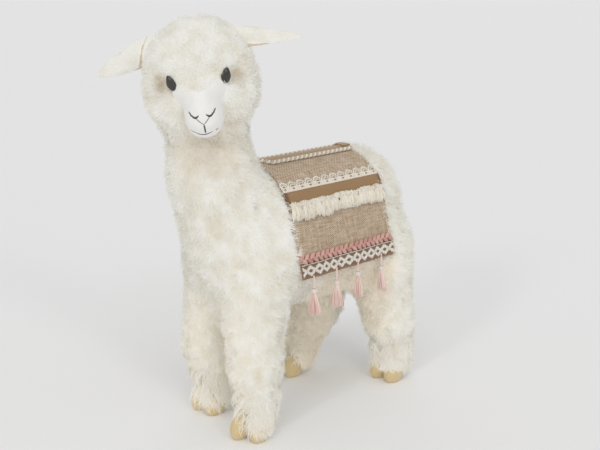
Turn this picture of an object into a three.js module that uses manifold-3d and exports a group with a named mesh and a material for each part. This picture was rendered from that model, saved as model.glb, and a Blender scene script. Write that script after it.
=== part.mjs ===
// A toy llama: a firm body in long curly wool pile, with a moulded face, felt ears and toes, and a
// saddle blanket of coarse linen trimmed with cord, lace, ribbon, fringe, braid and tassels.
// Millimetres, +Z up. It faces -Y and its left side is +X. Its feet stand at Z 0, and the origin is
// under the middle of its outline. The wool's solids reach out to the tips of the pile.
import * as THREE from 'three';
import { mergeVertices } from 'three/addons/utils/BufferGeometryUtils.js';
import Module from 'manifold-3d';

const wasm = await Module();
wasm.setup();

// ---------- driving dimensions ----------
const gap = 0.3; // clearance between two pieces that touch
const cell = { trunk: 15.5, neck: 12.5, legs: 11.8, head: 10.5, face: 5.2, tail: 10 }; // mesh sizes

const trunkSize = { front: -44, rear: 80, height: 198, radius: 57, rise: 2 };
const belly = { front: -58, rear: 62, height: 165, radius: 52, rise: -4, out: 10 };
const legs = {
  front_left: { hoof: [46, -103], knee: [43, -95], hip: [33, -88] },
  front_right: { hoof: [-29, -86], knee: [-38, -84], hip: [-25, -80] },
  rear_left: { hoof: [44, 108], knee: [44, 103], hip: [33, 92] },
  rear_right: { hoof: [-45, 42], knee: [-41, 78], hip: [-33, 87] },
};
const legHeight = { hip: 150, knee: 68, ankle: 25 };
const legRadius = { frontHip: 35, rearHip: 41, knee: 27, ankle: 19 };
const heel = 11; // how far the leg's end lies behind the toes
const neckLine = [[2, -84, 190], [1, -108, 250], [0, -116, 310]];
const neckRadii = [51, 42, 38];
const tailLine = [[0, 124, 224], [0, 144, 180]];
const tailRadii = [16, 12];
const tailBounds = [[-30, 90, 150], [30, 172, 260]];
const softness = { // how wide the hollow is where two forms meet
  belly: 26, nape: 22, legs: 16, knee: 10, throat: 10, head: 10, cheeks: 12, muzzle: 9, chin: 5,
};
const woolSides = [[-95, -195], [95, 155]]; // the wool lies inside these, in X and Y
const woolLevels = { head: [290, 410], neck: [170, 330], trunk: [60, 330], legs: [-20, 190] };

const head = { centre: [0, -119, 347], yaw: 47, pitch: 4, roll: -8 }; // degrees it is turned
const crown = { centre: [-1, 2, 0], radii: [52.5, 50, 53] }; // from here to the ears: the head's own frame
const cheeks = { centre: [-1, 0, -21], radii: [52, 44, 35] };
const faceBack = -24; // the flat back of the face
const brow = { centre: [0, -12, 0], radii: [44, 34, 28] };
const muzzle = { top: [0, -33, -4], tip: [0, -48, -29], topRadius: 17, tipRadius: 17 };
const chin = { centre: [0, -43, -37], radii: [14, 14, 10] };
const maskEdge = [ // half of the bare face's outline, seen from in front, from the brow down to the chin
  [0, 12], [17, 13], [28, 13], [33, 6], [30, -4], [25, -11], [19.5, -19], [18.5, -31], [13, -43], [0, -48.5],
];
const maskMiddle = -14; // the height that the outline widens about, for the opening in the wool
const maskWiden = 0.062; // for each millimetre of clearance
const faceBounds = [[-56, -80, -60], [56, 34, 40]];
const eye = { x: 24.6, y: -39.4, z: 3.4, width: 9.4, height: 14.4, thick: 5, turn: 28, tilt: 18 };
const ear = { x: 31, y: 7, z: 38, length: 67, width: 20, thick: 3.4, cup: 4, frontLobe: 0.55 };
const earPose = { left: { droop: 15, twist: 22 }, right: { droop: 23, twist: 64 } };

const toe = { width: 18, length: 27, height: 22, spread: 9.6, splay: 6, forward: 7, sole: 0.62 };

const cloth = {
  front: -56, rear: 78, ridge: 254.6, crownRadius: 56.5, crownTurn: 76, bends: 6, side: 61.6, thick: 1.6,
};
const ridgeTrim = { ribbonHalf: 6.6, ribbonThick: 0.9, cordRun: 9.6, cordRadius: 2.2 };
const trims = [ // each one's run from the ridge down the cloth, and its thickness
  { name: 'lace', from: 40.2, to: 51.2, thick: 0.9, colour: 0xdcd3c3 },
  { name: 'ribbon', from: 51.6, to: 63.4, thick: 0.9, colour: 0x9b7b57 },
  { name: 'fringe', from: 64, to: 82, thick: 3.2, colour: 0xe8dfc9 },
  { name: 'braid', from: 114, to: 121.6, thick: 2, colour: 0xc8968f },
  { name: 'jacquard', from: 122.6, to: 136.2, thick: 1, colour: 0x7a6450 },
];
const tasselPlaces = [-43, -10, 20, 58];
const tassel = {
  out: 1.4, string: 12.5, stringRadius: 0.8, wrapRadius: 2.7, wrap: 4.5, skirt: 22, skirtRadius: 5.6,
};

const headCut = { point: [0, -116, 306], lean: 6 }; // where the wool is parted, and each plane's lean
const neckCut = { point: [0, -62, 250], lean: 43 };
const frontLegCut = { start: -50, height: 106, outward: 0.45, along: 0.35, limit: -25 };
const rearLegCut = { start: 35, height: 98, outward: 0.45, along: 0.35, limit: 6 };

const colours = {
  wool: 0xf1ede2, face: 0xf3f1ee, eye: 0x3b3a36, ear: 0xefe8dc, toe: 0xcdb98c,
  linen: 0xb3a288, cord: 0xe4d9c6, tassel: 0xeeb5a6,
};

// ---------- solid shapes from distances ----------
const mix = (a, b, t) => a + (b - a) * t;
const clamp01 = (t) => Math.min(1, Math.max(0, t));
const radians = THREE.MathUtils.degToRad;

// Distance to a round bar that tapers from one radius to another.
function bar([ax, ay, az], [bx, by, bz], ra, rb) {
  const [dx, dy, dz] = [bx - ax, by - ay, bz - az];
  const length2 = dx * dx + dy * dy + dz * dz;
  return (x, y, z) => {
    const t = clamp01(((x - ax) * dx + (y - ay) * dy + (z - az) * dz) / length2);
    return Math.hypot(x - ax - t * dx, y - ay - t * dy, z - az - t * dz) - mix(ra, rb, t);
  };
}

// Distance to an ellipsoid, near its surface.
function ellipsoid([cx, cy, cz], [rx, ry, rz]) {
  return (x, y, z) => {
    const [px, py, pz] = [(x - cx) / rx, (y - cy) / ry, (z - cz) / rz];
    const k = Math.hypot(px, py, pz);
    const slope = Math.hypot(px / rx, py / ry, pz / rz);
    return slope < 1e-9 ? -Math.min(rx, ry, rz) : (k * (k - 1)) / slope;
  };
}

// Joins shapes with a soft hollow about `soft` wide between them.
function blend(soft, ...shapes) {
  return (x, y, z) => shapes.reduce((near, shape) => {
    const d = shape(x, y, z);
    if (near === null) return d;
    const h = Math.max(soft - Math.abs(near - d), 0) / soft;
    return Math.min(near, d) - (h * h * soft) / 4;
  }, null);
}

// Closed mesh of the surface where shape is 0, by surface nets: one vertex in each crossed cell,
// one quad round each crossed grid edge. The vertices then slide onto the surface.
function meshOf(shape, low, high, size) {
  const n = low.map((l, i) => Math.ceil((high[i] - l) / size) + 1);
  const value = new Float32Array(n[0] * n[1] * n[2]);
  const at = (i, j, k) => i + n[0] * (j + n[1] * k);
  for (let k = 0; k < n[2]; k++)
    for (let j = 0; j < n[1]; j++)
      for (let i = 0; i < n[0]; i++)
        value[at(i, j, k)] = shape(low[0] + i * size, low[1] + j * size, low[2] + k * size);
  const vertexOf = new Map();
  const points = [];
  const step = [1, n[0], n[0] * n[1]];
  for (let k = 0; k < n[2] - 1; k++)
    for (let j = 0; j < n[1] - 1; j++)
      for (let i = 0; i < n[0] - 1; i++) {
        const sum = [0, 0, 0];
        let crossings = 0;
        for (let c = 0; c < 8; c++)
          for (let axis = 0; axis < 3; axis++) {
            if (c & (1 << axis)) continue;
            const corner = [i + (c & 1), j + ((c >> 1) & 1), k + ((c >> 2) & 1)];
            const a = value[at(...corner)];
            const b = value[at(...corner) + step[axis]];
            if (a < 0 === b < 0) continue;
            corner[axis] += a / (a - b);
            corner.forEach((v, d) => { sum[d] += v; });
            crossings++;
          }
        if (!crossings) continue;
        vertexOf.set(at(i, j, k), points.length / 3);
        sum.forEach((v, d) => points.push(low[d] + (size * v) / crossings));
      }
  const faces = [];
  for (let k = 1; k < n[2] - 1; k++)
    for (let j = 1; j < n[1] - 1; j++)
      for (let i = 1; i < n[0] - 1; i++)
        for (let axis = 0; axis < 3; axis++) {
          const here = at(i, j, k);
          const inside = value[here] < 0;
          if (inside === value[here + step[axis]] < 0) continue;
          const [u, v] = [step[(axis + 1) % 3], step[(axis + 2) % 3]];
          const ring = [here, here - u, here - u - v, here - v].map((c) => vertexOf.get(c));
          if (!inside) ring.reverse();
          faces.push(ring[0], ring[1], ring[2], ring[0], ring[2], ring[3]);
        }
  const e = 0.05; // the step that the slope is measured over
  for (let pass = 0; pass < 3; pass++)
    for (let p = 0; p < points.length; p += 3) {
      const [x, y, z] = points.slice(p, p + 3);
      const d = shape(x, y, z);
      const slope = [shape(x + e, y, z), shape(x, y + e, z), shape(x, y, z + e)].map((s) => (s - d) / e);
      const steep = slope[0] ** 2 + slope[1] ** 2 + slope[2] ** 2;
      const move = Math.min(1, size / 3 / Math.abs(d)) * (d / Math.max(steep, 0.1));
      slope.forEach((s, i) => { points[p + i] -= s * move; });
    }
  return new THREE.BufferGeometry()
    .setAttribute('position', new THREE.BufferAttribute(new Float32Array(points), 3))
    .setIndex(faces);
}

// ---------- solids that can be joined and cut ----------
// Merges a geometry's shared corners and drops the triangles that this leaves flat.
function welded(geometry, reach = 1e-4) {
  const bare = geometry.clone();
  bare.deleteAttribute('normal');
  bare.deleteAttribute('uv');
  const merged = mergeVertices(bare, reach);
  const corners = merged.index.array;
  const kept = [];
  for (let t = 0; t < corners.length; t += 3) {
    const [a, b, c] = corners.slice(t, t + 3);
    if (a !== b && b !== c && c !== a) kept.push(a, b, c);
  }
  return merged.setIndex(kept);
}

function solid(geometry) {
  const closed = welded(geometry);
  return new wasm.Manifold(new wasm.Mesh({
    numProp: 3,
    vertProperties: closed.attributes.position.array,
    triVerts: Uint32Array.from(closed.index.array),
  }));
}

function geometryOf(body) {
  const { vertProperties, triVerts } = body.getMesh();
  const geometry = new THREE.BufferGeometry()
    .setAttribute('position', new THREE.BufferAttribute(vertProperties, 3))
    .setIndex(Array.from(triVerts));
  return welded(geometry, 5e-3);
}

const far = 500; // past the whole figure
const turned = (x, y, z, order = 'XYZ') => new THREE.Matrix4().makeRotationFromEuler(
  new THREE.Euler(radians(x), radians(y), radians(z), order),
);
const moved = (x, y, z) => new THREE.Matrix4().makeTranslation(x, y, z);
const blockFrom = ([x0, y0, z0], [x1, y1, z1]) => new THREE.BoxGeometry(x1 - x0, y1 - y0, z1 - z0)
  .translate((x0 + x1) / 2, (y0 + y1) / 2, (z0 + z1) / 2);

// A rounded piece's own shape, larger by `grow` on each side of its box.
function swollen(geometry, grow) {
  geometry.computeBoundingBox();
  const middle = geometry.boundingBox.getCenter(new THREE.Vector3());
  const size = geometry.boundingBox.getSize(new THREE.Vector3());
  const factor = size.clone().addScalar(2 * grow).divide(size);
  return geometry.clone().translate(-middle.x, -middle.y, -middle.z)
    .scale(factor.x, factor.y, factor.z)
    .translate(middle.x, middle.y, middle.z);
}

// Everything below a plane through `point`, with its face moved up by `lift`.
function under(point, normal, lift) {
  const up = new THREE.Vector3(0, 0, 1);
  const lean = new THREE.Quaternion().setFromUnitVectors(up, normal.normalize());
  return solid(blockFrom([-far, -far, -far], [far, far, lift]).applyQuaternion(lean).translate(...point));
}
const below = ({ point, lean }, lift) => under(
  point,
  new THREE.Vector3(0, -Math.sin(radians(lean)), Math.cos(radians(lean))),
  lift,
);

// One quarter of the figure's underside, below a plane that rises outward and toward the end it is at.
function legRegion({ start, height, outward, along, limit }, side, end, lift) {
  const quarter = solid(blockFrom(
    [side > 0 ? -lift : -far, end > 0 ? limit : -far, -far],
    [side > 0 ? far : lift, end > 0 ? far : limit, far],
  ));
  const normal = new THREE.Vector3(-outward * side, -along * end, 1);
  return quarter.intersect(under([0, start, height], normal, lift));
}

// ---------- the head's own frame ----------
const headMatrix = moved(...head.centre).multiply(turned(head.pitch, head.roll, head.yaw, 'ZXY'));
const intoHead = headMatrix.clone().invert();
const inHead = (shape) => {
  const p = new THREE.Vector3();
  return (x, y, z) => {
    p.set(x, y, z).applyMatrix4(intoHead);
    return shape(p.x, p.y, p.z);
  };
};
const round = ({ centre, radii }) => ellipsoid(centre, radii);

// ---------- the wool ----------
const levelBar = ({ front, rear, height, radius }, x, rise) => bar(
  [x, front, height],
  [x, rear, height + rise],
  radius,
  radius,
);
const trunkShape = blend(
  softness.belly,
  levelBar(trunkSize, 0, trunkSize.rise),
  ...[-1, 1].map((side) => levelBar(belly, side * belly.out, belly.rise)),
);
const legShapes = Object.entries(legs).map(([name, { hoof, knee, hip }]) => {
  const kneeEnd = [...knee, legHeight.knee];
  const hipRadius = name.startsWith('front') ? legRadius.frontHip : legRadius.rearHip;
  return blend(
    softness.knee,
    bar([...hip, legHeight.hip], kneeEnd, hipRadius, legRadius.knee),
    bar(kneeEnd, [hoof[0], hoof[1] + heel, legHeight.ankle], legRadius.knee, legRadius.ankle),
  );
});
const neckShape = blend(
  softness.throat,
  bar(neckLine[0], neckLine[1], neckRadii[0], neckRadii[1]),
  bar(neckLine[1], neckLine[2], neckRadii[1], neckRadii[2]),
);
const headShape = inHead(blend(softness.cheeks, round(crown), round(cheeks)));
const bodyShape = blend(softness.legs, blend(softness.nape, trunkShape, neckShape), ...legShapes);
const woolShape = blend(softness.head, bodyShape, headShape);
const tailShape = bar(...tailLine, ...tailRadii);

// Solid of the wool between two levels, meshed with cells of its own size.
const woolBetween = ([low, high], size) => solid(meshOf(
  (x, y, z) => Math.max(woolShape(x, y, z), low - z, z - high),
  [...woolSides[0], low - 2 * size],
  [...woolSides[1], high + 2 * size],
  size,
));

// ---------- the face, in the head's frame ----------
const muzzleShape = bar(muzzle.top, muzzle.tip, muzzle.topRadius, muzzle.tipRadius);
const faceShape = blend(softness.muzzle, round(brow), blend(softness.chin, muzzleShape, round(chin)));

// The bare face's outline as a prism, from the flat back of the face forward.
function maskPrism(grow) {
  const half = maskEdge.map(([x, z]) => new THREE.Vector3(x, z, 0));
  const mirror = half.slice(1, -1).reverse().map(({ x, y }) => new THREE.Vector3(-x, y, 0));
  const loop = new THREE.CatmullRomCurve3([...half, ...mirror], true).getPoints(36).slice(0, -1);
  const scale = 1 + grow * maskWiden;
  const outline = new THREE.Shape(loop.map(({ x, y }) => new THREE.Vector2(
    x * scale,
    mix(maskMiddle, y, scale),
  )));
  return alongY(outline, -far, faceBack + grow);
}

// Turns every triangle over, for a geometry that was mirrored.
function flipped(geometry) {
  const order = geometry.index.array;
  for (let t = 0; t < order.length; t += 3) [order[t + 1], order[t + 2]] = [order[t + 2], order[t + 1]];
  return geometry;
}

// A round lens with a pointed top: the shape of an eye.
function lens({ width, height, thick }, grow) {
  const geometry = flipped(new THREE.SphereGeometry(1, 8, 6));
  const place = geometry.attributes.position;
  for (let i = 0; i < place.count; i++) {
    const up = place.getY(i);
    const narrow = up > 0 ? 1 - 0.42 * up : 1;
    place.setXYZ(
      i,
      place.getX(i) * narrow * (width / 2 + grow),
      place.getZ(i) * (thick / 2 + grow),
      up * (height / 2 + grow),
    );
  }
  return geometry;
}
const eyeAt = (side, grow) => lens(eye, grow)
  .applyMatrix4(turned(0, side * eye.tilt, 0))
  .applyMatrix4(turned(0, 0, side * eye.turn))
  .translate(side * eye.x, eye.y, eye.z);

// An ear: a cupped leaf along +X, widest near its root, hollow underneath and fuller on its front edge.
function leaf({ length, width, thick, cup, frontLobe }, front, grow) {
  const geometry = flipped(new THREE.SphereGeometry(1, 8, 9));
  const place = geometry.attributes.position;
  for (let i = 0; i < place.count; i++) {
    const along = (1 + place.getY(i)) / 2;
    const lobe = place.getX(i) * front > 0 ? 1 + frontLobe * (1 - along) : 1;
    const across = place.getX(i) * (1.22 - 0.5 * along) * lobe * (width / 2 + grow);
    place.setXYZ(
      i,
      along * (length + grow) - grow / 2,
      across,
      place.getZ(i) * (thick / 2 + grow) * (1.3 - 0.5 * along) - cup * (2 * across / width) ** 2,
    );
  }
  return geometry;
}
const earAt = (side, grow) => {
  const { droop, twist } = side > 0 ? earPose.left : earPose.right;
  return leaf(ear, -side, grow)
    .applyMatrix4(turned(side * twist, 0, 0))
    .applyMatrix4(turned(0, droop, 0))
    .applyMatrix4(side > 0 ? turned(0, 0, 0) : turned(0, 0, 180))
    .translate(side * ear.x, ear.y, ear.z);
};

// ---------- toes ----------
// One toe: a cushion with a flat sole, longer than it is wide.
function toeAt(hoof, side, grow) {
  const profile = [[0, 0], [toe.sole, 0], [0.95, 0.24], [0.95, 0.6], [0.58, 0.92], [0, 1]];
  return new THREE.LatheGeometry(profile.map(([r, h]) => new THREE.Vector2(r, h)), 9)
    .applyMatrix4(turned(90, 0, 0))
    .scale(toe.width / 2 + grow, toe.length / 2 + grow, toe.height + grow)
    .applyMatrix4(turned(0, 0, side * toe.splay))
    .translate(hoof[0] + side * toe.spread, hoof[1] - toe.forward, -grow / 2);
}

// ---------- the blanket and its trims ----------
// Point on the blanket's cross-section: `run` from the ridge along the cloth, and `out` from its face.
function onCloth(run, out) {
  const fullTurn = radians(cloth.crownTurn);
  const turn = Math.min(Math.abs(run) / cloth.crownRadius, fullTurn);
  const straight = Math.max(0, Math.abs(run) - fullTurn * cloth.crownRadius);
  const radius = cloth.crownRadius + out;
  return new THREE.Vector2(
    Math.sign(run) * (radius * Math.sin(turn) + straight * Math.cos(turn)),
    cloth.ridge - cloth.crownRadius + radius * Math.cos(turn) - straight * Math.sin(turn),
  );
}
const clothRun = radians(cloth.crownTurn) * cloth.crownRadius + cloth.side;

// Runs from one value to another, with steps only where the cloth is curved.
function runsBetween(from, to) {
  const step = cloth.crownRadius * radians(cloth.crownTurn / cloth.bends);
  const bends = Array.from({ length: 2 * cloth.bends + 1 }, (_, i) => (i - cloth.bends) * step);
  return [from, ...bends.filter((run) => run > from + 1 && run < to - 1), to];
}

// Lays a cross-section in X and Z along Y.
function alongY(outline, from, to) {
  return new THREE.ExtrudeGeometry(outline, { depth: to - from, bevelEnabled: false })
    .applyMatrix4(turned(90, 0, 0))
    .translate(0, to, 0);
}

// A strip of the given thickness on the cloth, between two runs.
function strip(from, to, out, thick) {
  const runs = runsBetween(from, to);
  const outline = new THREE.Shape([
    ...runs.map((run) => onCloth(run, out + thick)),
    ...runs.reverse().map((run) => onCloth(run, out)),
  ]);
  return alongY(outline, cloth.front, cloth.rear);
}

// Everything outside the cloth's inner face, between its front and rear edges.
function outsideCloth() {
  const inner = runsBetween(-clothRun, clothRun).map((run) => onCloth(run, -cloth.thick - gap));
  const hem = onCloth(clothRun, 0).y - gap;
  const outline = new THREE.Shape([
    new THREE.Vector2(far, hem),
    new THREE.Vector2(far, far),
    new THREE.Vector2(-far, far),
    new THREE.Vector2(-far, hem),
    ...inner,
  ]);
  return solid(alongY(outline, cloth.front - gap, cloth.rear + gap));
}

function tasselShape() {
  const { string, stringRadius, wrapRadius, wrap, skirt, skirtRadius } = tassel;
  const bottom = string + wrap + skirt;
  const profile = [
    [0, -bottom], [skirtRadius, -bottom], [wrapRadius, -string - wrap], [wrapRadius, -string],
    [stringRadius, 1 - string], [stringRadius, 0], [0, 0],
  ];
  const points = profile.map(([r, z]) => new THREE.Vector2(r, z));
  return new THREE.LatheGeometry(points, 6).applyMatrix4(turned(90, 0, 0));
}

// ---------- the figure ----------
const figure = new THREE.Group();
figure.name = 'llama';
function add(name, geometry, color, roughness = 0.95, parent = figure) {
  const material = new THREE.MeshStandardMaterial({ color, roughness, metalness: 0 });
  const mesh = new THREE.Mesh(geometry, material);
  mesh.name = name;
  parent.add(mesh);
  return mesh;
}
const headGroup = new THREE.Group();
headGroup.applyMatrix4(headMatrix);
figure.add(headGroup);

const sides = { left: 1, right: -1 };
const ends = { front: -1, rear: 1 };
const cutFor = { front: frontLegCut, rear: rearLegCut };
const world = (geometry) => solid(geometry.applyMatrix4(headMatrix));

// the head and what is set into it
const faceMesh = solid(meshOf(faceShape, ...faceBounds, cell.face));
let faceBody = faceMesh.intersect(solid(maskPrism(0)));
let headBody = woolBetween(woolLevels.head, cell.head)
  .subtract(below(headCut, gap / 2))
  .subtract(world(maskPrism(gap)));
for (const [name, side] of Object.entries(sides)) {
  add(`eye_${name}`, eyeAt(side, 0), colours.eye, 0.35, headGroup);
  add(`ear_${name}`, earAt(side, 0), colours.ear, 0.95, headGroup);
  faceBody = faceBody.subtract(solid(eyeAt(side, gap)));
  headBody = headBody.subtract(world(earAt(side, 3 * gap))).subtract(world(eyeAt(side, gap)));
}
add('face', geometryOf(faceBody), colours.face, 0.5, headGroup);
add('head', geometryOf(headBody), colours.wool);

// the neck, the trunk and the tail
const aroundCloth = outsideCloth();
const neckBody = woolBetween(woolLevels.neck, cell.neck)
  .intersect(below(headCut, -gap / 2))
  .subtract(below(neckCut, gap / 2))
  .subtract(world(maskPrism(gap)))
  .subtract(aroundCloth);
add('neck', geometryOf(neckBody), colours.wool);

const tailMesh = meshOf(tailShape, ...tailBounds, cell.tail);
let trunkBody = woolBetween(woolLevels.trunk, cell.trunk)
  .intersect(below(neckCut, -gap / 2))
  .subtract(aroundCloth)
  .subtract(solid(swollen(tailMesh, 2 * gap)));
for (const side of Object.values(sides))
  for (const [endName, end] of Object.entries(ends))
    trunkBody = trunkBody.subtract(legRegion(cutFor[endName], side, end, gap / 2));
add('trunk', geometryOf(trunkBody), colours.wool);
add('tail', tailMesh, colours.wool);

// the legs and their toes
const legWool = woolBetween(woolLevels.legs, cell.legs);
for (const [sideName, side] of Object.entries(sides))
  for (const [endName, end] of Object.entries(ends)) {
    const { hoof } = legs[`${endName}_${sideName}`];
    let legBody = legWool.intersect(legRegion(cutFor[endName], side, end, -gap / 2)).subtract(aroundCloth);
    for (const [toeName, toeSide] of [['inner', -side], ['outer', side]]) {
      add(`toe_${endName}_${sideName}_${toeName}`, toeAt(hoof, toeSide, 0), colours.toe);
      legBody = legBody.subtract(solid(toeAt(hoof, toeSide, gap)));
    }
    add(`leg_${endName}_${sideName}`, geometryOf(legBody), colours.wool);
  }

// the blanket, its trims and its tassels
add('blanket', strip(-clothRun, clothRun, -cloth.thick, cloth.thick), colours.linen);
const { ribbonHalf, ribbonThick, cordRun, cordRadius } = ridgeTrim;
add('ridge_ribbon', strip(-ribbonHalf, ribbonHalf, gap, ribbonThick), colours.linen);
for (const [name, side] of Object.entries(sides)) {
  const cordPlace = onCloth(side * cordRun, gap + cordRadius);
  const cordRound = new THREE.Shape().absarc(cordPlace.x, cordPlace.y, cordRadius, 0, 2 * Math.PI);
  const cordSection = new THREE.Shape(cordRound.getPoints(2));
  add(`ridge_cord_${name}`, alongY(cordSection, cloth.front, cloth.rear), colours.cord);
  for (const trim of trims) {
    const ends = [side * trim.from, side * trim.to].sort((a, b) => a - b);
    add(`${trim.name}_${name}`, strip(...ends, gap, trim.thick), trim.colour);
  }
  const hem = onCloth(side * clothRun, tassel.out);
  tasselPlaces.forEach((y, i) => {
    add(`tassel_${name}_${i + 1}`, tasselShape(), colours.tassel).position.set(hem.x, y, hem.y - gap);
  });
}

// The origin goes under the middle of the figure's outline.
const outline = new THREE.Box3().setFromObject(figure, true);
const middle = outline.getCenter(new THREE.Vector3());
figure.position.set(-middle.x, -middle.y, -outline.min.z);

export default figure;
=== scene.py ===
# A toy llama, 400 mm tall: curly wool pile over a firm core, a moulded face, plush ears, felt toes,
# and a linen saddle blanket with cord, lace, ribbon, fringe, braid, woven tape and tassels.
# Sizes in the dictionaries are millimetres in the frame's axes: it faces -Y, its left side is +X.
import math
import bmesh
import bpy
import numpy as np
from mathutils import Matrix, Vector, noise
from mathutils.bvhtree import BVHTree
from mathutils.kdtree import KDTree


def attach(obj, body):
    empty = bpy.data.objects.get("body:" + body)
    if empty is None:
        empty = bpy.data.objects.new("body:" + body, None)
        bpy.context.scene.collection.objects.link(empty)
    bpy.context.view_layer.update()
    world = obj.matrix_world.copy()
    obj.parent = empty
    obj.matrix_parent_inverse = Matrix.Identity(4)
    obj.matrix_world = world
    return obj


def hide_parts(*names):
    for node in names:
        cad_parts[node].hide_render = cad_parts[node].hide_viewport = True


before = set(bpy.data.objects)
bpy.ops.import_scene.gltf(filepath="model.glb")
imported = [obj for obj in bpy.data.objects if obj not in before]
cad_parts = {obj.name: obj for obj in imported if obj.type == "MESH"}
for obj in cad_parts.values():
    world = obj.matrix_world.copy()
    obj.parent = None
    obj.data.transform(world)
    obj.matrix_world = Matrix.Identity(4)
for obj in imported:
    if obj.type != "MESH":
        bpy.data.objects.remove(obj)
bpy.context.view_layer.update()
mm = 0.001
chance = np.random.default_rng(41)
print("frame loaded:", len(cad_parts), "solids")


# camera, light and floor
view = {
    "azimuth": 44.5,  # degrees round from the front towards the left side
    "elevation": 14.1,
    "distance": 1120,
    "target": (10.0, 14.6, 186.0),
    "lens": 66,  # on a 36 mm sensor
}
studio = {
    "floorReach": 16.0,  # metres
    "floor": "#f5f5f5",
    "room": "#ffffff",
    "roomLight": 0.55,
    "softboxes": [  # azimuth and elevation in degrees, strength, width in degrees; a scrim casts no shadow
        {"name": "softboxLeft", "azimuth": 13, "elevation": 28, "strength": 0.35, "width": 9},
        {"name": "softboxRight", "azimuth": 76, "elevation": 28, "strength": 0.24, "width": 12},
        {"name": "softboxAbove", "azimuth": 44, "elevation": 56, "strength": 0.5, "width": 34},
        {"name": "reflectorCard", "azimuth": 56, "elevation": -18, "strength": 0.2, "width": 40},
        {"name": "scrimBehind", "azimuth": 222, "elevation": 26, "strength": 0.46, "width": 60},
    ],
}


def linearColour(hexText):
    channels = [int(hexText[i:i + 2], 16) / 255 for i in (1, 3, 5)]
    return [c / 12.92 if c <= 0.04045 else ((c + 0.055) / 1.055) ** 2.4 for c in channels] + [1.0]


def fromAngles(azimuth, elevation):  # unit vector towards a viewer or a light
    a, e = math.radians(azimuth), math.radians(elevation)
    return Vector((math.sin(a) * math.cos(e), -math.cos(a) * math.cos(e), math.sin(e)))


def setStudio():
    scene = bpy.context.scene
    scene.view_settings.view_transform = "Standard"
    target = Vector(view["target"]) * mm
    towards = fromAngles(view["azimuth"], view["elevation"])
    cameraData = bpy.data.cameras.new("camera")
    cameraData.lens = view["lens"]
    cameraData.sensor_width = 36
    camera = bpy.data.objects.new("camera", cameraData)
    camera.location = target + towards * view["distance"] * mm
    camera.rotation_euler = (-towards).to_track_quat("-Z", "Y").to_euler()
    scene.collection.objects.link(camera)
    scene.camera = camera
    for box in studio["softboxes"]:
        lamp = bpy.data.lights.new(box["name"], "SUN")
        lamp.energy = box["strength"]
        lamp.angle = math.radians(box["width"])
        lamp.use_shadow = lamp.cycles.cast_shadow = "scrim" not in box["name"]
        lampObject = bpy.data.objects.new(box["name"], lamp)
        away = -fromAngles(box["azimuth"], box["elevation"])
        lampObject.rotation_euler = away.to_track_quat("-Z", "Y").to_euler()
        scene.collection.objects.link(lampObject)
    world = bpy.data.worlds.new("room")
    world.use_nodes = True
    background = world.node_tree.nodes["Background"]
    background.inputs["Color"].default_value = linearColour(studio["room"])
    background.inputs["Strength"].default_value = studio["roomLight"]
    scene.world = world
    reach = studio["floorReach"]
    mesh = bpy.data.meshes.new("floor")
    corners = [(x * reach, y * reach, 0) for x, y in ((-1, -1), (1, -1), (1, 1), (-1, 1))]
    mesh.from_pydata(corners, [], [(0, 1, 2, 3)])
    floor = bpy.data.objects.new("floor", mesh)
    scene.collection.objects.link(floor)
    paper = bpy.data.materials.new("seamlessPaper")
    paper.use_nodes = True
    shader = paper.node_tree.nodes["Principled BSDF"]
    shader.inputs["Base Color"].default_value = linearColour(studio["floor"])
    shader.inputs["Roughness"].default_value = 0.9
    mesh.materials.append(paper)
    floor.visible_shadow = False  # the low card's light comes up through it, as from a lit table


setStudio()
print("studio set")


# tools for materials
fibreIor = 1.5  # wool, cotton, linen, vinyl and paint all lie close to it


def perMetre(millimetres):  # how many repeats of a pattern fit in a metre
    return 1000.0 / millimetres


def waveScale(millimetres):  # for a wave texture whose bands lie this far apart
    return perMetre(millimetres) * math.pi / 10


def addNode(tree, kind, inputs, **settings):  # an input is a socket to link, a hex colour or a plain value
    node = tree.nodes.new("ShaderNode" + kind)
    for name, value in settings.items():
        setattr(node, name, value)
    for key, value in inputs.items():
        if isinstance(value, bpy.types.NodeSocket):
            tree.links.new(value, node.inputs[key])
        else:
            node.inputs[key].default_value = linearColour(value) if isinstance(value, str) else value
    return node


def startMaterial(name, finish, flatCloth=False):  # finish: the shader's own sockets
    material = bpy.data.materials.new(name)
    material.use_nodes = True
    tree = material.node_tree
    shader = tree.nodes["Principled BSDF"]
    for key, value in {"IOR": fibreIor, **finish}.items():
        shader.inputs[key].default_value = value
    if flatCloth:  # its pattern follows the flat cloth
        place = addNode(tree, "Attribute", {}, attribute_name="clothPlace").outputs["Vector"]
    else:
        place = addNode(tree, "TexCoord", {}).outputs["Object"]
    return material, tree, shader, place


def fibreFinish(roughness, specular, sheen, sheenRoughness):  # the shader's own sockets, for wool and cloth
    return {"Roughness": roughness, "Specular IOR Level": specular, "Sheen Weight": sheen,
            "Sheen Roughness": sheenRoughness}


def mottled(tree, place, size, low, high, detail=2):  # two colours in patches this many millimetres across
    noise = addNode(tree, "TexNoise", {"Vector": place, "Scale": perMetre(size), "Detail": detail})
    return addNode(tree, "Mix", {0: noise.outputs[0], 6: low, 7: high}, data_type="RGBA").outputs[2]


def connect(tree, shader, colour, height=None, depth=0.0):  # depth of the relief in millimetres
    tree.links.new(colour, shader.inputs["Base Color"])
    if height is not None:
        bump = addNode(tree, "Bump", {"Height": height, "Distance": depth * mm, "Strength": 1.0})
        tree.links.new(bump.outputs["Normal"], shader.inputs["Normal"])


# tools for shapes
def unit(vectors):
    return vectors / np.maximum(np.linalg.norm(vectors, axis=-1, keepdims=True), 1e-12)


def smoothStep(low, high, value):
    t = np.clip((value - low) / (high - low), 0, 1)
    return t * t * (3 - 2 * t)


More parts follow.
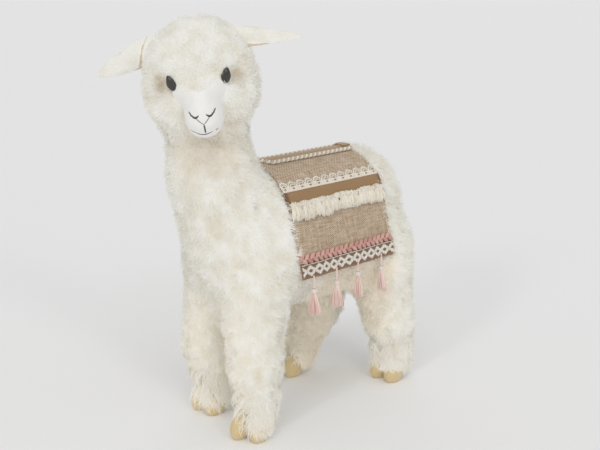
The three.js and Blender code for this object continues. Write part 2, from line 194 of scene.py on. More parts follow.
def outwards(points, faceSets):  # faces turned so that a closed shape's outside shows
    volume = 0
    for faces in faceSets:
        for i in range(1, faces.shape[1] - 1):
            a, b, c = (points[faces[:, k]] for k in (0, i, i + 1))
            volume += (a * np.cross(b, c)).sum()
    return faceSets if volume > 0 else [faces[:, ::-1] for faces in faceSets]


def makePiece(name, points, faceSets, materials, materialIndex=None, smooth=True):
    mesh = bpy.data.meshes.new(name)
    mesh.vertices.add(len(points))
    mesh.vertices.foreach_set("co", np.asarray(points, np.float32).ravel())
    faceSets = outwards(np.asarray(points), [np.asarray(f, np.int32) for f in faceSets if len(f)])
    corners = np.concatenate([f.ravel() for f in faceSets])
    widths = np.concatenate([np.full(len(f), f.shape[1]) for f in faceSets])
    mesh.loops.add(len(corners))
    mesh.loops.foreach_set("vertex_index", corners)
    mesh.polygons.add(len(widths))
    mesh.polygons.foreach_set("loop_start", np.cumsum(widths) - widths)
    mesh.polygons.foreach_set("use_smooth", np.full(len(widths), smooth))
    for material in materials:
        mesh.materials.append(material)
    if materialIndex is not None:
        mesh.polygons.foreach_set("material_index", np.asarray(materialIndex, np.int32))
    mesh.update(calc_edges=True)
    piece = bpy.data.objects.new(name, mesh)
    bpy.context.scene.collection.objects.link(piece)
    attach(piece, "root")
    return piece


def setPointColours(piece, colours):  # colours (n, 3), linear
    layer = piece.data.color_attributes.new("woolTone", "FLOAT_COLOR", "POINT")
    opaque = np.column_stack([colours, np.ones(len(colours))])
    layer.data.foreach_set("color", opaque.astype(np.float32).ravel())


def addBakeMap(piece, places):  # places (n, 2), one for each point
    layer = piece.data.uv_layers.new(name="OFBake")
    corners = np.zeros(len(piece.data.loops), np.int32)
    piece.data.loops.foreach_get("vertex_index", corners)
    layer.data.foreach_set("uv", places[corners].astype(np.float32).ravel())


def strandShape(paths, radii, up, corners=3, flat=1.0, pointed=True):
    # paths (n, k, 3) and radii (n, k) of n strands, and the way each one's thin side faces
    n, k, _ = paths.shape
    along = unit(np.gradient(paths, axis=1))
    across = unit(np.cross(along, np.broadcast_to(up[:, None, :], along.shape)))
    over = np.cross(across, along) * flat
    turn = 2 * np.pi * np.arange(corners) / corners + np.pi / 2
    spoke = across[:, :, None] * np.cos(turn)[:, None] + over[:, :, None] * np.sin(turn)[:, None]
    rings = k - 1 if pointed else k
    body = (paths[:, :, None] + spoke * radii[:, :, None, None])[:, :rings].reshape(n, rings * corners, 3)
    points = np.concatenate([body, paths[:, -1:]], axis=1) if pointed else body
    each = points.shape[1]
    start = (np.arange(n) * each)[:, None, None]
    i = np.arange(corners)
    j = (np.arange(rings - 1) * corners)[:, None]
    a, b = j + i, j + (i + 1) % corners
    quads = (np.stack([a, a + corners, b + corners, b], -1).reshape(1, -1, 4) + start).reshape(-1, 4)
    caps = (i[None, None, :] + start).reshape(n, corners)
    last = (rings - 1) * corners
    if pointed:
        tip = np.stack([last + i, np.full(corners, each - 1), last + (i + 1) % corners], -1)
        ends = (tip[None] + start).reshape(-1, 3)
    else:
        ends = (last + i[::-1][None, None, :] + start).reshape(n, corners)
    return points.reshape(-1, 3), [quads, ends, caps]


def joined(shapes):  # several (points, face sets) as one
    points, sets, count = [], [], 0
    for shapePoints, faceSets, *_ in shapes:
        sets += [np.asarray(f) + count for f in faceSets if len(f)]
        points.append(shapePoints)
        count += len(shapePoints)
    return np.concatenate(points), sets


def smoothLine(points, count):  # a smooth run through a few points, evenly spaced
    p = np.asarray(points, float)
    p = np.vstack([2 * p[0] - p[1], p, 2 * p[-1] - p[-2]])
    line = []
    for a, b, c, d in zip(p, p[1:], p[2:], p[3:]):
        for t in np.linspace(0, 1, 24, endpoint=False):
            line.append(0.5 * (2 * b + (c - a) * t + (2 * a - 5 * b + 4 * c - d) * t ** 2
                               + (3 * b - a - 3 * c + d) * t ** 3))
    line = np.array(line + [p[-2]])
    run = np.concatenate([[0], np.cumsum(np.linalg.norm(np.diff(line, axis=0), axis=1))])
    wanted = np.linspace(0, run[-1], count)
    return np.column_stack([np.interp(wanted, run, line[:, i]) for i in range(line.shape[1])])


def gridFaces(rows, columns, wrap=False):  # quads of a grid of points, row by row
    i = np.arange(rows - 1)[:, None]
    j = np.arange(columns if wrap else columns - 1)[None, :]
    nextJ = (j + 1) % columns
    return np.stack([i * columns + j, i * columns + nextJ, (i + 1) * columns + nextJ,
                     (i + 1) * columns + j], -1).reshape(-1, 4)


# the head's own frame: -Y is where the face looks, +Z its crown
headPose = {"centre": (0, -104.4, 347), "yaw": 47, "pitch": 4, "roll": -8}
headMatrix = (Matrix.Translation(headPose["centre"]) @ Matrix.Rotation(math.radians(headPose["yaw"]), 4, "Z")
              @ Matrix.Rotation(math.radians(headPose["pitch"]), 4, "X")
              @ Matrix.Rotation(math.radians(headPose["roll"]), 4, "Y"))
headTurn = np.array(headMatrix.to_3x3())
headCentre = np.array(headPose["centre"], float)


def fromHead(points):  # head's frame, mm, to the row's frame, mm
    return np.asarray(points) @ headTurn.T + headCentre


def toHead(points):
    return (np.asarray(points) - headCentre) @ headTurn


# the face: a moulded shell, its outline hidden under the edge of the wool
face = {
    "brow": {"centre": (0, -12, 0), "radii": (44, 34, 28)},
    "muzzle": {"top": (0, -33, -4), "tip": (0, -48, -29), "radius": 17},
    "chin": {"centre": (0, -43, -37), "radii": (14, 14, 10)},
    "softMuzzle": 9,
    "softChin": 5,
    "hub": (0, -22, -14),  # every point of the face is seen from here
    "edge": [(0, -8.5), (7, -5.5), (14, -0.5), (20, -3), (23.5, -8), (20.5, -14), (17.6, -20), (17.4, -31),
             (13, -43), (0, -48.5)],
    "edgeMiddle": (0, -16),
    "tuck": 2.5,  # how far the shell goes on under the wool
    "back": -24.5,
    "rings": 84,
    "spokes": 168,
}
features = {
    "nostril": [(3, -63, -23.2), (6, -62, -25), (9.3, -60.5, -23.6), (12.3, -58, -20.6)],
    "nostrilLine": [(6, -62, -25), (3.2, -62.5, -28), (0.2, -62, -30.6)],
    "philtrum": [(0, -62, -30.4), (0.2, -60.5, -34.5), (0, -58, -38.8)],
    "mouth": [(-13.2, -55, -37.4), (-8, -57.5, -39.7), (-3, -58, -40.6), (0, -58, -40.5), (3.5, -58, -39.6),
              (6, -57.5, -38.9)],
    "mouthCorner": [(8.4, -56.5, -38.6), (11.2, -55.5, -37.8)],
}
moulding = {  # soft forms of the face: how far each stands out and how wide it is
    "bridge": {"rise": 1.5, "width": 8.5, "from": (-28, -16), "to": (0, 9)},
    "noseTip": {"rise": 0.8, "middle": (0, -25.5), "size": (6, 3.5)},
    "nostril": {"rise": -0.9, "width": 1.5},
    "nostrilRim": {"rise": 0.9, "width": 2.6, "above": 2.6},
    "nostrilLine": {"rise": -0.35, "width": 0.8},
    "lipPad": {"rise": 1.0, "middle": (6, -34), "size": (4, 3.6)},
    "socket": {"rise": -1.5, "width": 7.5},
    "browRidge": {"rise": 1.0, "width": 3.4, "off": 11},
    "philtrum": {"rise": -0.8, "width": 1.1},
    "mouth": {"rise": -0.9, "width": 1.1},
    "chin": {"rise": 0.7, "middle": (0, -43.5), "size": (8, 2.4)},
}
eye = {"x": 24.6, "y": -39.4, "z": 3.4, "width": 9.4, "height": 14.4, "thick": 5, "turn": 28, "tilt": 18}


def egg(p, centre, radii):
    q = (p - centre) / radii
    k = np.linalg.norm(q, axis=-1)
    return k * (k - 1) / np.maximum(np.linalg.norm(q / radii, axis=-1), 1e-9)


def rod(p, a, b, radius):
    a, b = np.asarray(a, float), np.asarray(b, float)
    t = np.clip(((p - a) @ (b - a)) / ((b - a) @ (b - a)), 0, 1)
    return np.linalg.norm(p - a - t[..., None] * (b - a), axis=-1) - radius


def softJoin(a, b, width):
    h = np.maximum(width - np.abs(a - b), 0) / width
    return np.minimum(a, b) - h * h * width / 4


def faceDistance(p):
    brow = egg(p, face["brow"]["centre"], np.array(face["brow"]["radii"]))
    muzzle = rod(p, face["muzzle"]["top"], face["muzzle"]["tip"], face["muzzle"]["radius"])
    chin = egg(p, face["chin"]["centre"], np.array(face["chin"]["radii"]))
    return softJoin(brow, softJoin(muzzle, chin, face["softChin"]), face["softMuzzle"])


def castFromHub(ways):  # where rays from the hub leave the face, before its features are modelled
    hub = np.array(face["hub"], float)
    low, high = np.zeros(ways.shape[:-1]), np.full(ways.shape[:-1], 75.0)
    for _ in range(34):
        middle = (low + high) / 2
        inside = faceDistance(hub + ways * middle[..., None]) < 0
        low, high = np.where(inside, middle, low), np.where(inside, high, middle)
    return hub + ways * low[..., None]


def maskReach(angle):  # distance from the outline's middle to its edge, looking at the face
    half = np.array(face["edge"], float) - face["edgeMiddle"]
    outline = smoothLine(np.vstack([half, half[-2:0:-1] * (-1, 1), half[:1]]), 300)
    angles = np.unwrap(np.arctan2(outline[:, 1], outline[:, 0]))
    order = np.argsort(np.mod(angles, 2 * np.pi))
    return np.interp(np.mod(angle, 2 * np.pi), np.mod(angles, 2 * np.pi)[order],
                     np.linalg.norm(outline, axis=1)[order], period=2 * np.pi)


def outsideMask(p):  # how far a point of the head's frame lies outside the bare face's outline
    x, z = p[..., 0] - face["edgeMiddle"][0], p[..., 2] - face["edgeMiddle"][1]
    reach = np.hypot(x, z) - maskReach(np.arctan2(z, x))
    return np.where(p[..., 1] < face["back"], reach, 40.0)


def outsideEyes(p):  # how far a point of the head's frame lies from the nearer eye's rim
    x, z = np.abs(p[..., 0]) - eye["x"], p[..., 2] - eye["z"]
    lean = math.radians(eye["tilt"])
    across, up = x * math.cos(lean) - z * math.sin(lean), x * math.sin(lean) + z * math.cos(lean)
    reach = np.hypot(across / (eye["width"] / 2), up / (eye["height"] / 2))
    return np.where(p[..., 1] < face["back"], (reach - 1) * eye["width"] / 2, 40.0)


def nearLine(p, line, width):  # 1 on the line, falling off over width
    q = smoothLine(line, 24)
    nearest = np.full(p.shape[:-1], 1e9)
    for point in q:
        nearest = np.minimum(nearest, np.linalg.norm(p - point, axis=-1))
    return np.exp(-(nearest / width) ** 2)


def featureRelief(p):  # how far the moulding stands out from the plain form, in mm
    x, z = p[..., 0], p[..., 2]

    def mound(x, name):  # a soft oval, seen from the front
        (middleX, middleZ), (width, height) = moulding[name]["middle"], moulding[name]["size"]
        return moulding[name]["rise"] * np.exp(-((x - middleX) / width) ** 2 - ((z - middleZ) / height) ** 2)

    def line(p, name):
        return moulding[name]["rise"] * nearLine(p, features[name], moulding[name]["width"])

    bridge, rim, socket, brow = (moulding[name] for name in ("bridge", "nostrilRim", "socket", "browRidge"))
    share = smoothStep(*bridge["from"], z) * (1 - smoothStep(*bridge["to"], z))
    relief = bridge["rise"] * np.exp(-(x / bridge["width"]) ** 4) * share
    relief += mound(x, "noseTip")
    for side in (-1, 1):
        mirrored = p * (side, 1, 1)
        relief += line(mirrored, "nostril")
        relief += rim["rise"] * nearLine(mirrored + (0, 0, -rim["above"]), features["nostril"], rim["width"])
        relief += line(mirrored, "nostrilLine")
        relief += mound(x * side, "lipPad")
        away = np.linalg.norm(p - (side * eye["x"], eye["y"], eye["z"] - 1), axis=-1)
        relief += socket["rise"] * np.exp(-(away / socket["width"]) ** 2)
        ring = np.exp(-((away - brow["off"]) / brow["width"]) ** 2)
        relief += brow["rise"] * ring * smoothStep(-2, 8, z - eye["z"])
    return relief + line(p, "philtrum") + line(p, "mouth") + mound(x, "chin")


def sculpted(ways):
    plain = castFromHub(ways)
    return plain + ways * featureRelief(plain)[..., None]


def faceShell():
    spokes, rings = face["spokes"], face["rings"]
    around = np.linspace(0, 2 * np.pi, spokes, endpoint=False)
    reach = maskReach(around) + face["tuck"]
    lean = np.linspace(0.02, 2.0, 120)
    side = np.stack([np.cos(around), np.zeros(spokes), np.sin(around)], -1)
    front = np.array([0, -1.0, 0])
    ways = np.cos(lean)[None, :, None] * front + np.sin(lean)[None, :, None] * side[:, None]
    hit = castFromHub(ways)
    out = np.hypot(hit[..., 0] - face["edgeMiddle"][0], hit[..., 2] - face["edgeMiddle"][1])
    past = (out > reach[:, None]) | (hit[..., 1] > face["back"] - 0.5)
    last = lean[np.where(past.any(1), past.argmax(1), len(lean) - 1)]
    for _ in range(3):  # an even edge
        last = (np.roll(last, 1) + 2 * last + np.roll(last, -1)) / 4
    share = np.linspace(0.012, 1, rings)[:, None]
    angle = share * last
    ways = np.cos(angle)[..., None] * front + np.sin(angle)[..., None] * side
    surface = sculpted(ways)
    middle = sculpted(front[None])[0]
    rim = surface[-1].copy()
    rim[:, 1] = face["back"] + 0.5
    count = rings * spokes
    points = np.vstack([surface.reshape(-1, 3), rim, middle[None], rim.mean(0)[None]])
    i = np.arange(spokes)
    nextI = (i + 1) % spokes
    nose = np.stack([i, np.full(spokes, count + spokes), nextI], -1)
    back = np.stack([count + i, count + nextI, np.full(spokes, count + spokes + 1)], -1)
    return points, [gridFaces(rings + 1, spokes, wrap=True)[:, ::-1], nose[:, ::-1], back[:, ::-1]]


def vinylFace():
    # soft vinyl, rotation moulded and flocked: off-white, a broad satin highlight, a faint grain
    material, tree, shader, place = startMaterial("flockedVinylFace", {
        "Roughness": 0.5, "Sheen Weight": 0.35, "Sheen Roughness": 0.6})
    grain = addNode(tree, "TexNoise", {"Vector": place, "Scale": perMetre(0.5), "Detail": 2})
    colour = mottled(tree, place, 14, "#f0eeea", "#f7f5f2", 3)
    connect(tree, shader, colour, grain.outputs[0], 0.05)
    return material


faceOutline = faceShell()


def makeFace():
    points, faceSets = faceOutline
    piece = makePiece("face_shell", fromHead(points) * mm, faceSets, [vinylFace()])
    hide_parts("face")
    return piece


faceShellPiece = makeFace()
print("face moulded:", len(faceShellPiece.data.polygons), "faces")


# the skin: the knitted backing of the pile, one piece from the crown to the ankles
skin = {
    "nodes": ["head", "neck", "trunk", "tail", "leg_front_left", "leg_front_right", "leg_rear_left",
              "leg_rear_right"],
    "filledBy": ["face", "eye_left", "eye_right"],  # these close the opening for the face
    "overlap": 0.6,  # how far the parts grow into one another before they are made one
    "cell": 2.9,
    "smoothing": 26,
}
coatDepth = {"trunk": 3.6, "neck": 3.6, "leg": 3.4, "head": 3.4, "maskEdge": 2.8, "ankle": 2.4,
             "underBlanket": 1.4}
# soft mounds that the curls stand in
lumps = {"size": 9.0, "height": 1.3, "small": 4.6, "smallHeight": 0.6, "lift": 1.6}
saddleForward = 10.0  # how far the blanket's front corner juts on the crown of the back
blanketCover = {"front": -41.4, "rear": 92.6, "hemHeight": 152, "inset": 13}  # where it hides the wool


def weldedNode(name, grow):
    shape = bmesh.new()
    shape.from_mesh(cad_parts[name].data)
    bmesh.ops.remove_doubles(shape, verts=shape.verts, dist=0.02 * mm)
    bmesh.ops.triangulate(shape, faces=shape.faces)
    shape.normal_update()
    points = np.array([v.co + v.normal * grow * mm for v in shape.verts])
    faces = np.array([[v.index for v in f.verts] for f in shape.faces])
    shape.free()
    return points, [faces]


def triangles(mesh):
    mesh.calc_loop_triangles()
    corners = np.zeros(len(mesh.loop_triangles) * 3, np.int32)
    mesh.loop_triangles.foreach_get("vertices", corners)
    return corners.reshape(-1, 3)


def positions(mesh):
    points = np.zeros(len(mesh.vertices) * 3)
    mesh.vertices.foreach_get("co", points)
    return points.reshape(-1, 3)


def faceNormals(points, faces):  # their lengths are twice the triangles' areas
    a, b, c = (points[faces[:, i]] for i in range(3))
    return np.cross(b - a, c - a)


def pointNormals(points, faces):
    normal = faceNormals(points, faces)
    total = np.zeros_like(points)
    for i in range(3):
        for axis in range(3):
            total[:, axis] += np.bincount(faces[:, i], normal[:, axis], len(points))
    return unit(total)


def evened(points, faces, rounds, keep=0.52):  # smooths without shrinking
    pairs = np.vstack([faces[:, [0, 1]], faces[:, [1, 2]], faces[:, [2, 0]]])
    a, b = np.unique(np.sort(pairs, axis=1), axis=0).T
    n = len(points)
    degree = np.bincount(a, minlength=n) + np.bincount(b, minlength=n)
    for turn in range(rounds * 2):
        share = 0.5 if turn % 2 == 0 else -keep
        total = [np.bincount(a, line[b], n) + np.bincount(b, line[a], n) for line in points.T]
        points = points + share * (np.column_stack(total) / degree[:, None] - points)
    return points


def underBlanket(p, inset):  # 1 where the blanket lies over the wool, 0 at its edges and past them
    inY = smoothStep(blanketCover["front"], blanketCover["front"] + inset, p[:, 1])
    inY *= 1 - smoothStep(blanketCover["rear"] - inset, blanketCover["rear"], p[:, 1])
    return inY * smoothStep(blanketCover["hemHeight"] + 2, blanketCover["hemHeight"] + 2 + inset, p[:, 2])


heights = {"head": (296, 316), "neck": (225, 255), "leg": (88, 122), "ankle": (12, 36)}  # where they meet


def regionOf(p):  # shares of head, leg and ankle at points in mm
    headShare = smoothStep(*heights["head"], p[:, 2])
    legShare = 1 - smoothStep(*heights["leg"], p[:, 2])
    ankleShare = 1 - smoothStep(*heights["ankle"], p[:, 2])
    return headShare, legShare, ankleShare


def coatDepthAt(p):
    headShare, legShare, ankleShare = regionOf(p)
    neckShare = smoothStep(*heights["neck"], p[:, 2])
    depth = coatDepth["trunk"] + (coatDepth["neck"] - coatDepth["trunk"]) * neckShare
    depth += (coatDepth["head"] - depth) * headShare
    depth += (coatDepth["leg"] - depth) * legShare
    depth += (coatDepth["ankle"] - depth) * ankleShare
    nearMask = (1 - smoothStep(0, 12, outsideMask(toHead(p)))) * headShare
    depth += (coatDepth["maskEdge"] - depth) * nearMask
    return depth + (coatDepth["underBlanket"] - depth) * underBlanket(p, blanketCover["inset"])


wool = {
    "light": "#f4f3ee",
    "shade": "#e9e4d6",
    "eyeCorner": "#b8a585",
    # painted shade under the head, pinkish beige
    "throat": "#e9decd",
    # painted warm shade low on the legs, near the floor
    "ankle": "#e2d3b6",
    "belly": "#fbf3e3",  # painted warm light between the legs and under the blanket's hem, where they lie in shade
    "patch": 16,  # size of the soft patches of warmer wool
    "crown": (340, 380), "low": (6, 26), "inner": (100, 165), "flankWarmLight": (138, 165),  # heights, as limits
    "between": (30, 70), "behindForelegs": (-15, 5), "beforeHindlegs": (85, 105),
    "corner": (7.5, 6, -1), "cornerReach": ((1, 5.0), (-1, 6.0)),  # from the eye's middle; left and right
    "throatMiddle": (0, -34, -62), "throatReach": 20,
    "shares": {"corner": 0.8, "throat": 0.6, "inner": 0.35, "flankWarmLight": 0.9, "ankle": 0.6},
}
lockShare = {"leg": -0.12, "rump": 0.35, "fringe": 0.55, "ankle": -0.2, "nearMask": -0.4, "nearEye": -0.25}


def lumpAt(p):  # how far the mounds lift the skin, in mm
    broad = np.array([noise.noise(Vector(point)) for point in p / lumps["size"]])
    small = np.array([noise.noise(Vector(point)) for point in p / lumps["small"] + 31.0])
    return lumps["lift"] * (broad * lumps["height"] + small * lumps["smallHeight"])


def lockSize(p):  # share of full length and width
    headShare, legShare, ankleShare = regionOf(p)
    h = toHead(p)
    nearMask = 1 - smoothStep(0, 14, outsideMask(h))
    nearEye = 1 - smoothStep(0, 8, outsideEyes(h))
    fringe = np.exp(-(outsideMask(h) / 7) ** 2) * (h[:, 2] > -8)
    rump = smoothStep(84, 112, p[:, 1]) * smoothStep(130, 180, p[:, 2])
    length = 1 + lockShare["leg"] * legShare + lockShare["rump"] * rump
    length = length + lockShare["fringe"] * fringe * headShare + lockShare["ankle"] * ankleShare
    length = length + (lockShare["nearMask"] * nearMask + lockShare["nearEye"] * nearEye) * headShare
    return length, 0.8 + 0.2 * length


def woolTone(p, seed):  # linear colours at points in mm; the same on the backing and on the locks
    light, shade, corner, throat, ankle, belly = (
        np.array(linearColour(wool[key])[:3])
        for key in ("light", "shade", "eyeCorner", "throat", "ankle", "belly"))
    x, y, z = p.T / wool["patch"]
    patch = np.sin(x * 2.1 + np.sin(y * 1.7 + 1) * 1.3) * np.sin(y * 1.9 + np.sin(z * 1.4) * 1.5)
    patch = patch * np.sin(z * 1.6 + np.sin(x * 1.5 + 2))
    crown = smoothStep(*wool["crown"], p[:, 2])
    # the tone goes towards the shade colour in the hollows between the mounds: painted shade
    amount = 0.38 - 0.25 * crown + 0.4 * patch + 0.35 * (seed - 0.5) - 0.3 * lumpAt(p)
    tone = light + (shade - light) * np.clip(amount, 0, 1.3)[:, None]
    h = toHead(p)
    shares = wool["shares"]
    cornerX, cornerY, cornerZ = wool["corner"]
    for side, reach in wool["cornerReach"]:
        spot = np.array([side * (eye["x"] + cornerX), eye["y"] + cornerY, eye["z"] + cornerZ])
        near = np.exp(-(np.linalg.norm((h - spot) * (1, 0.8, 0.8), axis=1) / reach) ** 2)[:, None]
        tone = tone + (corner - tone) * near * shares["corner"]
    # painted shade under the chin, strongest at its middle and falling off over its reach
    far = np.linalg.norm((h - wool["throatMiddle"]) * (0.6, 1, 0.9), axis=1)
    under = np.exp(-(far / wool["throatReach"]) ** 2)[:, None]
    tone = tone + (throat - tone) * under * shares["throat"]
    # darker and warmer towards the floor round the ankles: painted warm shade
    low = (1 - smoothStep(*wool["low"], p[:, 2]))[:, None]
    # painted warm light: the lighter, warmer belly colour laid where the legs' inner sides and the lower
    # flank lie in shade
    inner = 1 - smoothStep(*wool["inner"], p[:, 2])
    inner = (inner * (1 - smoothStep(*wool["between"], np.abs(p[:, 0]))))[:, None]
    middle = smoothStep(*wool["behindForelegs"], p[:, 1]) * (1 - smoothStep(*wool["beforeHindlegs"], p[:, 1]))
    flankWarmLight = ((1 - smoothStep(*wool["flankWarmLight"], p[:, 2])) * middle)[:, None]
    tone = tone + (belly - tone) * np.maximum(inner * shares["inner"], flankWarmLight * shares["flankWarmLight"])
    return tone + (ankle - tone) * low * shares["ankle"]


def woolPile():
    # washed wool pile: creamy, matt, light scattered from lock to lock, so no highlight
    material, tree, shader, place = startMaterial("curlyWoolPile", fibreFinish(1.0, 0.1, 0.4, 0.8))
    tone = addNode(tree, "Attribute", {}, attribute_name="woolTone").outputs["Color"]
    dulled = addNode(tree, "HueSaturation", {"Value": 0.95, "Saturation": 1.1, "Color": tone})
    connect(tree, shader, mottled(tree, place, 2.2, dulled.outputs[0], tone))
    return material


woolMaterial = woolPile()


def makeSkin():
    nodes = skin["nodes"] + skin["filledBy"]
    points, faceSets = joined([weldedNode(name, skin["overlap"]) for name in nodes])
    rough = makePiece("skin_rough", points, faceSets, [])
    remesh = rough.modifiers.new("remesh", "REMESH")
    remesh.mode = "VOXEL"
    remesh.voxel_size = skin["cell"] * mm
    whole = bpy.data.meshes.new_from_object(rough.evaluated_get(bpy.context.evaluated_depsgraph_get()))
    points, faces = positions(whole) / mm, triangles(whole)
    bpy.data.objects.remove(rough)
    bpy.data.meshes.remove(whole)
    points = evened(points, faces, skin["smoothing"])
    points -= pointNormals(points, faces) * skin["overlap"]
    points -= pointNormals(points, faces) * coatDepthAt(points)[:, None]
    points = evened(points, faces, 3)
    mound = lumpAt(points) * (1 - underBlanket(points, 6)) * lockSize(points)[0]
    mound = mound * (1 + 0.4 * regionOf(points)[1])
    points += pointNormals(points, faces) * mound[:, None]
    piece = makePiece("wool_backing", points * mm, [faces], [woolMaterial])
    setPointColours(piece, woolTone(points, np.full(len(points), 0.5)))
    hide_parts(*skin["nodes"])
    bpy.context.view_layer.objects.active = piece
    piece.select_set(True)
    bpy.ops.object.mode_set(mode="EDIT")
    bpy.ops.mesh.select_all(action="SELECT")
    bpy.ops.uv.smart_project(angle_limit=math.radians(66), island_margin=0.002)
    bpy.ops.object.mode_set(mode="OBJECT")
    piece.select_set(False)
    unwrap = np.zeros(len(piece.data.loops) * 2)
    piece.data.uv_layers.active.data.foreach_get("uv", unwrap)
    piece.data.uv_layers.active.name = "OFBake"
    return piece, points, faces, unwrap.reshape(-1, 3, 2)


skinPiece, skinPoints, skinFaces, skinUnwrap = makeSkin()
skinNormals = pointNormals(skinPoints, skinFaces)
print("backing made:", len(skinFaces), "triangles")


# the pile: locks that stand in small curls, each curl sharing a tip, with finer wisps between
locks = {
    "count": 57000,
    "width": 0.75,  # of one lock where it is widest
    "flat": 0.45,
    "length": 2.3,  # how far a tip lies along the body, in coat depths
    "stand": 0.95,  # how high a tip stands, in coat depths
    "stray": 34,  # degrees
    "turns": 1.0,
    "curl": 0.9,  # how far a lock swings off its line
    "steps": (0, 0.34, 0.7, 1),
}
wisps = {"count": 34000, "width": 0.5, "flat": 0.6, "length": 1.8, "stand": 2.1, "stray": 75, "turns": 0.6,
         "curl": 0.9, "steps": (0, 0.5, 1)}
curls = {
    "spacing": 8.5,  # between the middles of two curls
    "gather": 0.36,  # how far its locks come together at the tip
    "within": 14,
    "unevenHeight": 0.34,
    "swirl": 42,  # degrees that a curl's lie strays from the lie of the coat
}
edgeWool = {"rimStand": 2.2, "rimFlip": 0.6, "browShare": 0.4, "besideBlanket": 2.6}
coatParts = {"legsBelow": 112, "headAbove": 306, "neckAbove": 205, "neckBefore": -44, "chestBefore": -25}
coatTriangles = 190000  # the most in one piece of the coat
strandPatch = {"width": 0.0015, "height": 0.003, "room": 0.996}  # shares of the map


def scatter(count, density):
    area = np.linalg.norm(faceNormals(skinPoints, skinFaces), axis=1) / 2 * density
    picked = chance.choice(len(skinFaces), count, p=area / area.sum())
    u, v = chance.random(count), chance.random(count)
    over = u + v > 1
    u[over], v[over] = 1 - u[over], 1 - v[over]
    share = np.stack([1 - u - v, u, v], 1)[:, :, None]
    corners = skinFaces[picked]
    return ((skinPoints[corners] * share).sum(1), unit((skinNormals[corners] * share).sum(1)),
            (skinUnwrap[picked] * share).sum(1))


def bareShare(p):  # 1 where no pile grows: the face and under the blanket
    h = toHead(p)
    onFace = ((outsideMask(h) < 0.6) | (outsideEyes(h) < 0.5)) & (p[:, 2] > 270)
    return np.where(onFace, 1.0, underBlanket(p, 11))


def lieOfCoat(p, normals):  # unit vectors along the skin
    headShare, legShare, _ = regionOf(p)
    flow = np.column_stack([0 * p[:, 0], 0.45 - 0.35 * legShare, -np.ones(len(p))])
    h = toHead(p)
    spread = np.column_stack([h[:, 0] * 0.9, 34 + 0 * h[:, 1], h[:, 2] + 12])
    fringe = np.exp(-((outsideMask(h) - 3) / 9) ** 2) * smoothStep(-9, -4, h[:, 2])
    spread = spread * (1 - fringe[:, None]) + fringe[:, None] * np.array([0, -14, -34.0])
    flow = flow * (1 - headShare[:, None]) + unit(spread @ headTurn.T) * headShare[:, None]
    return unit(flow - (flow * normals).sum(1, keepdims=True) * normals)


def besideBlanket(p):  # 1 along the front and rear edges of the blanket, where the wool stands over its edge
    front = blanketCover["front"] + 1 - saddleForward * np.exp(-(p[:, 0] / 15) ** 2)
    off = np.maximum(front - p[:, 1], p[:, 1] - blanketCover["rear"] + 1)
    hem = blanketCover["hemHeight"]
    return np.exp(-((off - 1.2) / 2.6) ** 2) * smoothStep(hem - 6, hem + 2, p[:, 2])


def bent(foot, knee, tip, t):  # points at shares t of curves from foot to tip, drawn towards a knee
    t = t[..., None]
    return (1 - t) ** 2 * foot[:, None] + 2 * t * (1 - t) * knee[:, None] + t * t * tip[:, None]


def mapPlaces(roots, each, rows):  # every strand has a small patch of the map, beside its root's place
    spot = np.arange(each)
    patch = np.column_stack([spot % 3 * strandPatch["width"], spot // 3 * strandPatch["height"] / rows])
    return roots[:, None] * strandPatch["room"] + patch


def turnedAbout(vectors, axes, angles):
    c, s = np.cos(angles)[:, None], np.sin(angles)[:, None]
    return vectors * c + np.cross(axes, vectors) * s + axes * (vectors * axes).sum(1, keepdims=True) * (1 - c)


